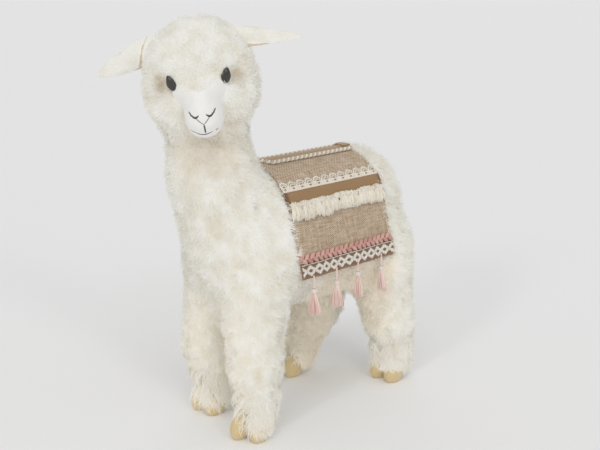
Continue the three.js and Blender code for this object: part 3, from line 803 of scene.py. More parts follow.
def growPile(style, curlTree, curl):
    middles = skinPoints[skinFaces].mean(1)
    density = (1 - bareShare(middles)) * (1 + 0.35 * regionOf(middles)[0])
    roots, normals, unwrap = scatter(style["count"], density)
    n = len(roots)
    near = np.array([curlTree.find(r)[1] for r in roots])
    length, width = lockSize(roots)
    depth = np.maximum(coatDepthAt(roots), coatDepth["trunk"] * (1 - underBlanket(roots, 6)))
    depth = depth * (0.9 + 0.2 * chance.random(n))
    stray = curl["stray"][near] + np.radians(style["stray"]) * chance.standard_normal(n)
    head = toHead(roots)
    rim = np.exp(-(outsideMask(head) / 3.5) ** 2) * regionOf(roots)[0] * smoothStep(1, 6, outsideEyes(head))
    flipped = chance.random(n) < edgeWool["rimFlip"] * rim * (head[:, 2] < 0)  # over the rim of the face
    stray += np.pi * flipped
    lie = turnedAbout(lieOfCoat(roots, normals), normals, stray)
    height = depth * length * curl["height"][near] * style["stand"] * (0.75 + 0.3 * chance.random(n))
    height += edgeWool["rimStand"] * rim + edgeWool["besideBlanket"] * besideBlanket(roots)
    reach = depth * length * style["length"] * (0.6 + 0.6 * chance.random(n))
    longer = chance.random(n) < edgeWool["browShare"]
    reach *= 1 + rim * (head[:, 2] > -8) * longer  # the brow is uneven
    tips = roots + normals * height[:, None] + lie * reach[:, None]
    shared = curl["tips"][near]
    close = np.linalg.norm(shared - tips, axis=1) < curls["within"]
    gather = curls["gather"] * (0.6 + 0.8 * chance.random(n)) * close
    tips = tips + (shared - tips) * gather[:, None]
    middle = roots + normals * height[:, None] * 1.05 + lie * reach[:, None] * 0.3
    t = np.array(style["steps"])[None]
    paths = bent(roots - normals * 0.6, middle, tips, t)
    across = unit(np.cross(tips - roots, normals))
    over = np.cross(unit(tips - roots), across)
    phase = curl["phase"][near][:, None] + 0.7 * chance.standard_normal((n, 1))
    phase = phase + 2 * np.pi * style["turns"] * t
    swing = style["curl"] * length[:, None] * np.minimum(1, 2.2 * t)
    paths = paths + across[:, None] * (np.sin(phase) * swing)[..., None]
    paths = paths + over[:, None] * (np.cos(phase) * swing * 0.5)[..., None]
    belly = (0.55 + 0.45 * np.sin(np.pi * np.minimum(1, t + 0.15))) * np.sqrt(np.maximum(0.02, 1 - t ** 3))
    radii = style["width"] / 2 * width[:, None] * belly * (0.7 + 0.6 * chance.random((n, 1)))
    points, faceSets = strandShape(paths, radii, over, flat=style["flat"])
    each = len(points) // n
    seed = curl["seed"][near] * 0.6 + chance.random(n) * 0.4
    return {"roots": roots, "points": points.reshape(n, each, 3), "faces": faceSets, "each": each,
            "tone": woolTone(roots, seed), "unwrap": mapPlaces(unwrap, each, len(style["steps"]) - 1)}


def partOf(p):  # which piece of the coat a root belongs to
    x, y, z = p.T
    end = np.where(y < 0, "front", "rear")
    side = np.where(x > 0, "left", "right")
    leg = z < coatParts["legsBelow"]
    names = np.where(leg, np.char.add(np.char.add("leg_", end), np.char.add("_", side)), "")
    names = np.where(z > coatParts["headAbove"], np.char.add("head_", side), names)
    neck = (names == "") & (z > coatParts["neckAbove"]) & (y < coatParts["neckBefore"])
    names = np.where(neck, np.char.add("neck_", side), names)
    names = np.where((names == "") & (y < coatParts["chestBefore"]), np.char.add("chest_", side), names)
    return np.where(names == "", np.char.add("body_", side), names)


def makeCoatPiece(name, points, faceSets, tones, places):  # a tone and a place on the map for each point
    piece = makePiece("coat_" + name, points * mm, faceSets, [woolMaterial], smooth=False)
    setPointColours(piece, tones)
    piece.visible_shadow = False  # wool lets light through: the backing throws the model's shadow
    addBakeMap(piece, places)


def makeCoat():
    surface = np.linalg.norm(faceNormals(skinPoints, skinFaces), axis=1).sum() / 2
    middles, normals, _ = scatter(int(surface / curls["spacing"] ** 2), np.ones(len(skinFaces)))
    n = len(middles)
    curl = {"stray": np.radians(curls["swirl"]) * chance.standard_normal(n) * 0.6,
            "height": 1 - curls["unevenHeight"] * chance.random(n),
            "phase": chance.random(n) * 2 * np.pi, "seed": chance.random(n)}
    lie = turnedAbout(lieOfCoat(middles, normals), normals, curl["stray"])
    depth = coatDepthAt(middles) * lockSize(middles)[0]
    rise, reach = depth * curl["height"], depth * locks["length"]
    curl["tips"] = middles + normals * rise[:, None] + lie * reach[:, None]
    curlTree = KDTree(n)
    for i, point in enumerate(middles):
        curlTree.insert(point, i)
    curlTree.balance()
    pile = [growPile(style, curlTree, curl) for style in (locks, wisps)]
    total = 0
    for name in np.unique(partOf(pile[0]["roots"])):
        shapes, tones, maps = [], [], []
        for grown in pile:
            chosen = np.flatnonzero(partOf(grown["roots"]) == name)
            place = np.full(len(grown["roots"]), -1)
            place[chosen] = np.arange(len(chosen)) * grown["each"]
            faceSets = []
            for faces in grown["faces"]:
                owner = faces[:, 0] // grown["each"]
                mine = place[owner] >= 0
                faceSets.append(faces[mine] - owner[mine, None] * grown["each"] + place[owner[mine], None])
            shapes.append((grown["points"][chosen].reshape(-1, 3), faceSets))
            tones.append(np.repeat(grown["tone"][chosen], grown["each"], axis=0))
            maps.append(grown["unwrap"][chosen].reshape(-1, 2))
        points, faceSets = joined(shapes)
        makeCoatPiece(str(name), points, faceSets, np.concatenate(tones), np.concatenate(maps))
        count = sum(len(f) * (f.shape[1] - 2) for f in faceSets)
        if count > coatTriangles:
            raise ValueError(f"coat_{name} has {count} triangles")
        total += count
    print("pile grown:", total, "triangles")


makeCoat()


# curly locks round each ankle, which hang over the toes; each foot shows its toes on one side
ankles = {
    "count": 1900,  # for each foot
    "from": 13, "to": 46,  # heights of the roots
    "width": 1.0,
    "clear": 1.2,  # off the toes
    "curl": 1.7,  # how far a lock swings off its line
    "clumps": 61, "clumpTurn": 0.34, "clumpHeight": 8,
    "hiding": 3, "covering": 5,  # how much thicker they grow away from the bare toes and on the covered side
    "feet": {  # ways to the bare toes and to the side to cover, half the angle that shows, how high it does
        "front_left": {"hoof": (46, -88.4), "bare": (-5.2, -8.6), "half": 40, "cleft": 0, "upTo": 17,
                       "cover": (10, -4)},
        "front_right": {"hoof": (-29, -71.4), "bare": (-9.6, -4), "half": 16, "cleft": 1, "upTo": 15,
                        "cover": (3, -9)},
        "rear_left": {"hoof": (44, 122.6), "bare": (4, -7), "half": 70, "cleft": 1, "upTo": 11,
                      "cover": (4, -7)},
        "rear_right": {"hoof": (-45, 56.6), "bare": (7, -8), "half": 52, "cleft": 0, "upTo": 14,
                       "cover": (9, 4)},
    },
}
footTurn = {"front_left": 24, "front_right": 0, "rear_left": 0, "rear_right": 0}  # degrees a foot is turned


def toeReach(angle):  # from a foot's middle to the outside of its two toes
    far = np.full(angle.shape, 11.0)
    t = np.linspace(0, 34, 69)[:, None]
    for side in (-1, 1):
        x, y = t * np.cos(angle) - side * 9.6, t * np.sin(angle) + 7
        inside = (x / 9) ** 2 + (y / 13.5) ** 2 < 1
        far = np.maximum(far, np.where(inside, t, 0).max(0))
    return far


def makeAnkles():
    middles = skinPoints[skinFaces].mean(1)
    t = np.array(locks["steps"])[None]
    for name, foot in ankles["feet"].items():
        hoof, bare = np.array(foot["hoof"], float), unit(np.array(foot["bare"], float))
        near = np.linalg.norm(middles[:, :2] - hoof, axis=1) < 40
        near &= (middles[:, 2] > ankles["from"]) & (middles[:, 2] < ankles["to"])
        facing = unit(middles[:, :2] - hoof)
        thick = 1 + ankles["hiding"] * (facing @ bare < 0.7) * (middles[:, 2] < 25)
        covered = facing @ unit(np.array(foot["cover"], float)) > 0.55
        thick += ankles["covering"] * covered * (middles[:, 2] < 30)
        roots, normals, unwrap = scatter(ankles["count"], near * thick)
        n = len(roots)
        away = roots[:, :2] - hoof
        angle = np.arctan2(away[:, 1], away[:, 0])
        row = np.floor(roots[:, 2] / ankles["clumpHeight"])
        clump = np.floor(angle / ankles["clumpTurn"] + 0.5 * row) * 7 + row * 13
        clump = clump.astype(int) % ankles["clumps"]
        shared = chance.random((3, ankles["clumps"]))[:, clump]
        angle = angle + 0.3 * (shared[0] - 0.5) + 0.13 * chance.standard_normal(n)
        way = np.column_stack([np.cos(angle), np.sin(angle)])
        turned = np.degrees(np.arccos(np.clip(way @ bare, -1, 1))) + 7 * chance.standard_normal(n)
        cleft = foot["cleft"] * np.exp(-((np.degrees(angle) + 90 - footTurn[name]) / 11) ** 2)
        shown = (1 - smoothStep(foot["half"] - 8, foot["half"] + 8, turned)) * (1 - 0.6 * cleft)
        fall = 7 + 7 * shared[1] + 5 * chance.random(n)
        low = np.maximum(0.8 + 5 * shared[2] * chance.random(n), roots[:, 2] - fall)
        low = np.maximum(low, (foot["upTo"] + 4 * chance.random(n)) * shown)
        reach = toeReach(angle - math.radians(footTurn[name]))
        reach = reach + ankles["clear"] * (0.4 + 1.8 * chance.random(n))
        behind = smoothStep(-0.1, 0.7, way[:, 1])  # the leg tapers at the back, above the heel
        stand = (np.linalg.norm(away, axis=1) + 3 + 2.5 * chance.random(n)) * (1 - 0.22 * behind)
        flare = 1 - smoothStep(12, 34, low)
        aim = angle + 0.26 * chance.standard_normal(n)
        aimed = np.column_stack([np.cos(aim), np.sin(aim)])
        past = np.maximum(reach - stand, 0) * flare
        tip = np.column_stack([hoof + aimed * (stand + past - 2 * shown)[:, None], low])
        kneeHeight = np.maximum(roots[:, 2] * 0.7 + low * 0.3, np.minimum(roots[:, 2], 20))
        knee = np.column_stack([hoof + way * (stand + past * 0.8 + 1.5)[:, None], kneeHeight])
        paths = bent(roots - normals, knee, tip, t)
        turns = shared[0][:, None] + (0.8 + 0.3 * chance.random((n, 1))) * t
        phase = 2 * np.pi * turns + 0.8 * chance.standard_normal((n, 1))
        swing = ankles["curl"] * np.minimum(1, 3 * t) * (0.6 + 0.8 * chance.random((n, 1)))
        across = np.column_stack([-way[:, 1], way[:, 0], 0 * low])
        paths = paths + across[:, None] * (np.sin(phase) * swing)[..., None]
        paths[..., :2] += way[:, None] * (0.6 * (1 + np.cos(phase)) * swing)[..., None]
        radii = ankles["width"] / 2 * (0.75 + 0.3 * np.sin(np.pi * t)) * (1 - 0.6 * t ** 4)
        radii = radii * (0.7 + 0.6 * chance.random((n, 1)))
        over = np.column_stack([way, np.full(n, 0.3)])
        points, faceSets = strandShape(paths, radii, unit(over), flat=0.55)
        each = len(points) // n
        tone = woolTone(roots + (0, 0, 8), 0.6 * shared[2] + 0.5 * chance.random(n))
        makeCoatPiece("ankle_" + name, points, faceSets, np.repeat(tone, each, axis=0),
                      mapPlaces(unwrap, each, 5).reshape(-1, 2))


makeAnkles()
print("ankle locks hung")


# tools for small parts
def unitBall(rows, around):  # a ball of radius 1, its poles on Y, row by row
    t = np.linspace(0, np.pi, rows + 2)[1:-1, None]
    turn = np.linspace(0, 2 * np.pi, around, endpoint=False)
    ring = np.stack([np.sin(t) * np.cos(turn), -np.cos(t) + 0 * turn, np.sin(t) * np.sin(turn)], -1)
    i = np.arange(around)
    last, count = (rows - 1) * around, rows * around
    ends = [np.stack([i, np.full(around, count), (i + 1) % around], -1),
            np.stack([last + (i + 1) % around, np.full(around, count + 1), last + i], -1)]
    points = np.vstack([ring.reshape(-1, 3), [(0, -1, 0), (0, 1, 0)]])
    return points, [gridFaces(rows, around, wrap=True), np.vstack(ends)]


def posed(points, *steps):  # steps are matrices, the last one applied first
    whole = Matrix.Identity(4)
    for step in steps:
        whole = whole @ step
    return points @ np.array(whole.to_3x3()).T + np.array(whole.translation)


def turning(degrees, axis):
    return Matrix.Rotation(math.radians(degrees), 4, axis)


sides = {"left": 1, "right": -1}


# the eyes
def satinEye():
    # moulded acrylic, tumbled to satin: near black with a soft window of light and faint warm clouding
    material, tree, shader, place = startMaterial("satinAcrylicEye", {
        "Roughness": 0.28, "IOR": 1.49, "Coat Weight": 0.35, "Coat Roughness": 0.18})
    grain = addNode(tree, "TexNoise", {"Vector": place, "Scale": perMetre(0.4), "Detail": 2})
    colour = mottled(tree, place, 4, "#262422", "#3f3b36", 3)
    connect(tree, shader, colour, grain.outputs[0], 0.02)
    return material


def makeEyes():
    material = satinEye()
    for name, side in sides.items():
        ball, faceSets = unitBall(46, 64)
        narrow = np.where(ball[:, 1] > 0, 1 - 0.42 * ball[:, 1], 1)
        size = np.array([eye["width"], eye["thick"], eye["height"]]) / 2
        lens = np.column_stack([ball[:, 0] * narrow, ball[:, 2], ball[:, 1]]) * size
        points = posed(lens, headMatrix, Matrix.Translation((side * eye["x"], eye["y"], eye["z"])),
                       turning(side * eye["turn"], "Z"), turning(side * eye["tilt"], "Y"))
        piece = makePiece("eye_bead_" + name, points * mm, faceSets, [material])
        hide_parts("eye_" + name)


makeEyes()
print("eyes set")


# the painted lines of the nose and mouth, laid on the face
paintedLines = {
    "height": 0.22,
    "sunk": 0.25,
    "points": 40,
    "widths": {"nostril": 2.7, "nostrilLine": 0.85, "philtrum": 1.9, "mouth": 1.4, "mouthCorner": 1.1},
}


def brushedPaint():
    # acrylic paint put on with a fine brush: charcoal, satin, thinner where the brush lifts
    material, tree, shader, place = startMaterial("brushedCharcoalPaint", {"Roughness": 0.45})
    streak = addNode(tree, "TexNoise", {"Vector": place, "Scale": perMetre(0.8), "Detail": 3})
    colour = addNode(tree, "Mix", {0: streak.outputs[0], 6: "#3a3735", 7: "#56514d"}, data_type="RGBA")
    connect(tree, shader, colour.outputs[2], streak.outputs[0], 0.03)
    return material


def paintedLine(line, width):
    hub = np.array(face["hub"], float)
    surface = BVHTree.FromPolygons([Vector(p) for p in faceOutline[0]], faceOutline[1][0].tolist())
    points, normals = [], []
    for target in smoothLine(line, paintedLines["points"]):
        way = Vector(unit(target - hub))
        spot, normal, _, _ = surface.ray_cast(Vector(hub + np.array(way) * 20), way)
        points.append(spot)
        normals.append(normal if normal.dot(way) > 0 else -normal)
    points, normals = np.array(points), unit(np.array(normals))
    t = np.linspace(0, 1, len(points))
    half = width / 2 * (0.16 + 0.84 * np.sin(np.pi * t) ** 0.6) * (1 + 0.1 * np.sin(t * 9))
    across = unit(np.cross(np.gradient(points, axis=0), normals))
    section = [(-1, -1), (-0.7, 0.6), (0, 1), (0.7, 0.6), (1, -1)]
    rise = [paintedLines["height"] * up if up > 0 else -paintedLines["sunk"] for _, up in section]
    rings = np.stack([points + across * (half * wide)[:, None] + normals * up
                      for (wide, _), up in zip(section, rise)], 1)
    k = len(section)
    ends = np.array([np.arange(k)[::-1], (len(points) - 1) * k + np.arange(k)])
    return rings.reshape(-1, 3), [gridFaces(len(points), k, wrap=True), ends]


def makePaintedLines():
    shapes = []
    for name, line in features.items():
        for side in ((1, -1) if name in ("nostril", "nostrilLine") else (1,)):
            shapes.append(paintedLine(np.array(line) * (side, 1, 1), paintedLines["widths"][name]))
    points, faceSets = joined(shapes)
    makePiece("painted_lines", fromHead(points) * mm, faceSets, [brushedPaint()])


makePaintedLines()
print("face painted")


# the ears: a cupped leaf, plush on top and felt underneath, with a short pile
ear = {
    "x": 31, "y": 7, "z": 38,
    "length": 67, "width": 20, "thick": 3.4, "cup": 4, "frontLobe": 0.55,
    "left": {"droop": 15, "twist": 22, "lined": True, "tufts": 1900},
    "right": {"droop": 23, "twist": 64, "lined": False, "tufts": 3000},  # folded: its lining is out of sight
    "rows": 90, "around": 56,
    "tuftLength": 3.4,
    "tuftWidth": 0.62,
}


def earPlush():
    # short-pile knitted plush, brushed one way: off-white, with a soft edge glow and shallow naps
    material, tree, shader, place = startMaterial("shortPilePlush", fibreFinish(0.95, 0.15, 0.6, 0.6))
    nap = addNode(tree, "TexNoise", {"Vector": place, "Scale": perMetre(2.4), "Detail": 4}).outputs[0]
    warm = mottled(tree, place, 11, "#ece7da", "#f6f4ed")
    colour = addNode(tree, "Mix", {0: nap, 6: warm, 7: "#f8f6f0"}, data_type="RGBA")
    connect(tree, shader, colour.outputs[2], nap, 0.3)
    return material


def earFelt():
    # pressed wool felt: matt tan, mottled by its matted fibres
    material, tree, shader, place = startMaterial("pressedFeltLining", fibreFinish(0.95, 0.2, 0.35, 0.5))
    matted = addNode(tree, "TexNoise", {
        "Vector": place, "Scale": perMetre(0.9), "Detail": 5, "Distortion": 0.8}).outputs[0]
    warm = mottled(tree, place, 7, "#d8c6ad", "#e4d6c1")
    colour = addNode(tree, "Mix", {0: matted, 6: "#cbb598", 7: warm}, data_type="RGBA")
    connect(tree, shader, colour.outputs[2], matted, 0.15)
    return material


def earLeaf(ball, front):
    along = (1 + ball[:, 1]) / 2
    lobe = np.where(ball[:, 0] * front > 0, 1 + ear["frontLobe"] * (1 - along), 1)
    across = ball[:, 0] * (1.22 - 0.5 * along) * lobe * ear["width"] / 2
    height = ball[:, 2] * ear["thick"] / 2 * (1.3 - 0.5 * along)
    height = height - ear["cup"] * (2 * across / ear["width"]) ** 2
    ripple = 0.5 * np.sin(along * 9 + front) * smoothStep(0.1, 0.5, along) * (across / ear["width"] * 2)
    return np.column_stack([along * ear["length"], across, height + ripple])


def makeEars():
    plush, felt = earPlush(), earFelt()
    for name, side in sides.items():
        ball, faceSets = unitBall(ear["rows"], ear["around"])
        leaf = earLeaf(ball, -side)
        place = (headMatrix, Matrix.Translation((side * ear["x"], ear["y"], ear["z"])),
                 Matrix.Identity(4) if side > 0 else turning(180, "Z"), turning(ear[name]["droop"], "Y"),
                 turning(side * ear[name]["twist"], "X"))
        points = posed(leaf, *place)
        along = leaf[:, 0] / ear["length"]
        across = ball[:, 0] * -side
        rolled = across > 0.84 + 0.16 * (along / 0.62) ** 3  # the lining rolls out along the opening
        bare = rolled
        if side < 0:
            seam = along - 0.16 - 0.18 * (across + 0.7)
            rolled = rolled | ((np.abs(seam) < 0.028 + 0.012 * across) & (ball[:, 2] > -0.3))
            bare = rolled | (seam < 0)
        lined = ear[name]["lined"]
        under = np.concatenate([(lined & (ball[f, 2].mean(1) < -0.08)) | rolled[f].all(1) for f in faceSets])
        piece = makePiece("ear_leaf_" + name, points * mm, faceSets, [plush, felt], under)
        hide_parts("ear_" + name)
        flat = np.column_stack([(leaf[:, 1] + 20) / 160 + (0.5 if side > 0 else 0), leaf[:, 0] / 80])
        flat[:, 0] += np.where(ball[:, 2] < 0, 0.25, 0)
        addBakeMap(piece, flat)
        quads, ends = faceSets
        faces = np.vstack([quads[:, :3], quads[:, [0, 2, 3]], ends])
        top = (ball[faces, 2].mean(1) > -0.05) | (not lined)
        area = np.linalg.norm(faceNormals(points, faces), axis=1)
        area = area * top * (leaf[faces, 0].mean(1) > 3) * ~bare[faces].any(1)
        picked = chance.choice(len(faces), ear[name]["tufts"], p=area / area.sum())
        share = chance.dirichlet((1, 1, 1), len(picked))[:, :, None]
        roots = (points[faces[picked]] * share).sum(1)
        normals = pointNormals(points, faces)
        if (normals * (points - points.mean(0))).sum() < 0:
            normals = -normals
        normals = unit((normals[faces[picked]] * share).sum(1))
        edge = (np.abs(leaf[faces[picked], 1].mean(1)) / ear["width"] * 2)[:, None]
        way = posed(np.array([[1.0, 0, 0]]), *place)[0] - posed(np.zeros((1, 3)), *place)[0]
        outward = posed(np.array([[0, 1.0, 0]]), *place)[0] - posed(np.zeros((1, 3)), *place)[0]
        lean = np.sign(leaf[faces[picked], 1].mean(1))[:, None] * outward * edge * 0.7
        lie = unit(way + lean + 0.35 * chance.standard_normal((len(roots), 3)))
        lie = unit(lie - (lie * normals).sum(1, keepdims=True) * normals)
        length = (ear["tuftLength"] * (0.6 + 0.7 * chance.random(len(roots))))[:, None]
        t = np.array([0, 0.5, 1])[None, :, None]
        rise = 2.2 * t * (1.25 - t) - 0.2
        paths = roots[:, None] + lie[:, None] * length[:, None] * t + normals[:, None] * rise
        radii = np.array([0.8, 1, 0.2])[None] * ear["tuftWidth"] / 2
        radii = radii * (0.7 + 0.6 * chance.random((len(roots), 1)))
        tuftPoints, tuftFaces = strandShape(paths, radii, normals, flat=0.5)
        each = len(tuftPoints) // len(roots)
        seed = np.repeat(chance.random(len(roots)), each)
        tones = woolTone(np.repeat(roots, each, axis=0) + (0, 0, 400), seed)
        rootFlat = (flat[faces[picked]] * share).sum(1)
        places = mapPlaces(rootFlat, each, 2).reshape(-1, 2)
        makeCoatPiece("ear_" + name, tuftPoints, tuftFaces, tones, places)


makeEars()
print("ears sewn")


# the toes
toe = {"width": 18, "length": 27, "height": 22, "spread": 9.6, "splay": 6, "forward": 7, "around": 40,
       "hooves": {"front_left": (46, -88.435), "front_right": (-29, -71.435), "rear_left": (44, 122.565),
                  "rear_right": (-45, 56.565)},
       "profile": [(0, 0), (0.5, 0.0), (0.74, 0.05), (0.93, 0.25), (0.97, 0.45), (0.87, 0.68), (0.6, 0.89),
                   (0.3, 0.98), (0, 1)]}


def suedeToe():
    # felt with a brushed suede finish over a firm core: matt tan, uneven where the nap is pushed about
    material, tree, shader, place = startMaterial("brushedSuedeToe", fibreFinish(0.9, 0.25, 0.5, 0.45))
    nap = addNode(tree, "TexNoise", {"Vector": place, "Scale": perMetre(6), "Detail": 3, "Distortion": 0.6})
    fibre = addNode(tree, "TexNoise", {"Vector": place, "Scale": perMetre(0.7), "Detail": 4}).outputs[0]
    base = addNode(tree, "Mix", {0: nap.outputs[0], 6: "#dcc697", 7: "#ecdcb4"}, data_type="RGBA")
    colour = addNode(tree, "Mix", {0: fibre, 6: "#d0b785", 7: base.outputs[2]}, data_type="RGBA")
    connect(tree, shader, colour.outputs[2], fibre, 0.12)
    return material


def makeToes():
    material = suedeToe()
    outline = smoothLine(toe["profile"], 34)[1:-1]
    r, h = np.maximum(outline[:, :1], 0), np.clip(outline[:, 1:], 0, 1)
    around = toe["around"]
    turn = np.linspace(0, 2 * np.pi, around, endpoint=False)
    ring = np.stack([r * np.cos(turn), r * np.sin(turn), h + 0 * turn], -1)
    pad = np.vstack([ring.reshape(-1, 3), [(0, 0, 0), (0, 0, 1)]])
    pad = pad * (toe["width"] / 2, toe["length"] / 2, toe["height"])
    n, i = len(r) * around, np.arange(around)
    nextI = (i + 1) % around
    ends = np.vstack([np.stack([nextI, i, np.full(around, n)], -1),
                      np.stack([n - around + i, n - around + nextI, np.full(around, n + 1)], -1)])
    faceSets = [gridFaces(len(r), around, wrap=True), ends]
    for corner, (x, y) in toe["hooves"].items():
        outer = 1 if x > 0 else -1
        for name, side in (("inner", -outer), ("outer", outer)):
            points = posed(pad, Matrix.Translation((x, y, 0)), turning(footTurn[corner], "Z"),
                           Matrix.Translation((side * toe["spread"], -toe["forward"], 0)),
                           turning(side * toe["splay"], "Z"))
            piece = makePiece(f"toe_pad_{corner}_{name}", points * mm, faceSets, [material])
            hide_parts(f"toe_{corner}_{name}")


makeToes()
print("toes made")


# the saddle blanket: a strip of coarse linen hung over the back, frayed where it was torn
saddle = {
    "front": -41.4, "rear": 92.6,
    "ridge": 254.6,
    "crownRadius": 56.5,
    "crownTurn": 76,  # degrees of the crown on each side, before the cloth hangs straight
    "side": 61.6,
    "thick": 1.6,
    "thread": 2.4,  # from one thread of the weave to the next; the real one is 1.6, drawn coarser to show
    "cellsAcross": 264, "cellsAlong": 130,
    "undersideStep": 4,  # the hidden underside is coarser
    "relief": 0.16,
    "slub": 0.2,
    "cornerLift": 7.0,  # how far the front of the ridge stands off the neck
}
saddleRun = math.radians(saddle["crownTurn"]) * saddle["crownRadius"] + saddle["side"]


def onCloth(run, y, out=0.0):  # run from the ridge along the cloth, + to the left, and out from its face
    run, y, out = np.broadcast_arrays(*(np.asarray(value, float) for value in (run, y, out)))
    fullTurn = math.radians(saddle["crownTurn"])
    side, far = np.sign(run), np.abs(run)
    turn = np.minimum(far / saddle["crownRadius"], fullTurn)
    straight = np.maximum(0, far - fullTurn * saddle["crownRadius"])
    down = smoothStep(24, 136, far)
    wave = 0.75 * np.sin(2 * np.pi * (y + 0.2 * far) / 62 + side)
    wave += 0.4 * np.sin(2 * np.pi * y / 27 + 2.1 * side + 0.03 * far)
    nearFront = smoothStep(-22, saddle["front"], y)
    corner = np.exp(-(far / 15) ** 2) * nearFront
    total = out + wave * down + saddle["cornerLift"] * np.exp(-(far / 24) ** 2) * nearFront
    radius = saddle["crownRadius"] + total
    x = side * (radius * np.sin(turn) + straight * math.cos(fullTurn))
    z = saddle["ridge"] - saddle["crownRadius"] + radius * np.cos(turn) - straight * math.sin(fullTurn)
    return np.stack([x, y - saddleForward * corner, z], -1)


def setClothPlaces(piece, run, y):  # where each point lies on the flat cloth, in metres, for its pattern
    layer = piece.data.attributes.new("clothPlace", "FLOAT_VECTOR", "POINT")
    places = np.column_stack([run, y, 0 * run]) * mm
    layer.data.foreach_set("vector", places.astype(np.float32).ravel())


def burlap():
    # coarse unbleached linen, plain weave: dry and matt, uneven threads with darker gaps between them
    finish = fibreFinish(0.95, 0.2, 0.15, 0.5)
    material, tree, shader, place = startMaterial("plainWeaveLinen", finish, flatCloth=True)
    parts = addNode(tree, "SeparateXYZ", {0: place})
    perTurn = 2 * math.pi * perMetre(saddle["thread"])
    waves, threads = [], []
    for axis, stretch in (("X", (70, 620, 1)), ("Y", (620, 70, 1))):
        turned = addNode(tree, "Math", {0: parts.outputs[axis], 1: perTurn}, operation="MULTIPLY")
        waves.append(addNode(tree, "Math", {0: turned.outputs[0]}, operation="COSINE").outputs[0])
        drawn = addNode(tree, "Mapping", {"Vector": place, "Scale": stretch})
        threads.append(addNode(tree, "TexNoise", {"Vector": drawn.outputs[0], "Scale": 1.0, "Detail": 2}))
    over = addNode(tree, "Math", {0: waves[0], 1: waves[1]}, operation="MULTIPLY").outputs[0]
    weave = addNode(tree, "MapRange", {"Value": over, "From Min": -1.0, "From Max": 1.0}).outputs[0]
    slub = addNode(tree, "Mix", {0: 0.5, 2: threads[0].outputs[0], 3: threads[1].outputs[0]}).outputs[0]
    sharp = addNode(tree, "MapRange", {"Value": slub, "From Min": 0.36, "From Max": 0.64})
    filled = addNode(tree, "MapRange", {"Value": weave, "From Min": 0.1, "From Max": 0.6})
    base = mottled(tree, place, 22, "#dfccb6", "#f2e2cd")
    uneven = addNode(tree, "Mix", {0: sharp.outputs[0], 6: "#b39a7d", 7: base}, data_type="RGBA")
    colour = addNode(tree, "Mix", {
        0: filled.outputs[0], 6: "#927a5e", 7: uneven.outputs[2]}, data_type="RGBA")
    connect(tree, shader, colour.outputs[2], weave, 0.3)
    return material


def makeCloth():
    across, along = saddle["cellsAcross"], saddle["cellsAlong"]
    run = np.linspace(-saddleRun, saddleRun, across + 1)[:, None] + np.zeros((1, along + 1))
    y = np.linspace(saddle["front"], saddle["rear"], along + 1)[None] + np.zeros((across + 1, 1))
    thread = 2 * np.pi / saddle["thread"]
    slubs = chance.standard_normal(across + 1)[:, None] + chance.standard_normal(along + 1)[None]
    relief = saddle["relief"] * np.cos(run * thread) * np.cos(y * thread) + saddle["slub"] * 0.25 * slubs
    ragged = np.zeros_like(y)
    ragged[:, 0] = -0.5 * chance.random(across + 1)
    ragged[:, -1] = 0.5 * chance.random(across + 1)
    top = onCloth(run, y + ragged, relief - 0.1)
    step = saddle["undersideStep"]
    under = onCloth(run[::step, ::step], y[::step, ::step], -saddle["thick"])
    rows, columns = across + 1, along + 1
    underRows, underColumns = under.shape[:2]
    start = rows * columns
    i = np.arange(underRows - 1)
    j = np.arange(underColumns - 1)
    walls = []
    for row, underRow, flip in ((0, 0, False), (across, underRows - 1, True)):
        rim = [row * columns + j * step + k for k in range(step + 1)]
        low = start + underRow * underColumns + j
        wall = np.stack(rim + [low + 1, low], -1)
        walls.append(wall[:, ::-1] if flip else wall)
    for column, underColumn, flip in ((0, 0, True), (along, underColumns - 1, False)):
        rim = [(i * step + k) * columns + column for k in range(step + 1)]
        low = start + i * underColumns + underColumn
        wall = np.stack(rim + [low + underColumns, low], -1)
        walls.append(wall[:, ::-1] if flip else wall)
    faces = [gridFaces(rows, columns)[:, ::-1], gridFaces(underRows, underColumns) + start, np.vstack(walls)]
    points = np.vstack([top.reshape(-1, 3), under.reshape(-1, 3)])
    piece = makePiece("saddle_cloth", points * mm, faces, [burlap()])
    flatRun = np.concatenate([run.ravel(), run[::step, ::step].ravel()])
    flatY = np.concatenate([y.ravel(), y[::step, ::step].ravel()])
    setClothPlaces(piece, flatRun, flatY)
    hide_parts("blanket")
    return piece


clothPiece = makeCloth()
print("blanket woven:", len(clothPiece.data.polygons), "faces")


def laidStrands(run, y, out, radii, corners=4, flat=1.0, pointed=False):
    paths = onCloth(run, y, out)
    up = unit(onCloth(run[:, 0], y[:, 0], out[:, 0] + 1.0) - paths[:, 0])
    return strandShape(paths, np.broadcast_to(radii, run.shape), up, corners, flat, pointed)


def addTrim(name, shapes, materials, node=None, tones=None, kinds=None):
    # tones from 0 to 1 and kinds, the numbers of the materials, are one for each shape
    points, faceSets = joined(shapes)
    counts = [sum(len(faces) for faces in shape[1]) for shape in shapes]
    index = np.repeat(kinds or [0] * len(shapes), counts)
    piece = makePiece(name, points * mm, faceSets, materials, index)
    if any(len(shape) > 2 for shape in shapes):
        places = [shape[2:] or np.zeros((2, len(shape[0]))) for shape in shapes]
        setClothPlaces(piece, *np.concatenate(places, axis=1))
    if tones is not None:
        shades = np.concatenate([np.broadcast_to(tone, len(shape[0])) for tone, shape in zip(tones, shapes)])
        setPointColours(piece, np.repeat(shades[:, None], 3, axis=1))
    if node:
        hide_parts(node)


def perStrand(count, shape, spread=1.0):  # one tone for all the points of a strand
    return np.repeat(0.5 + spread * (chance.random(count) - 0.5), len(shape[0]) // count)


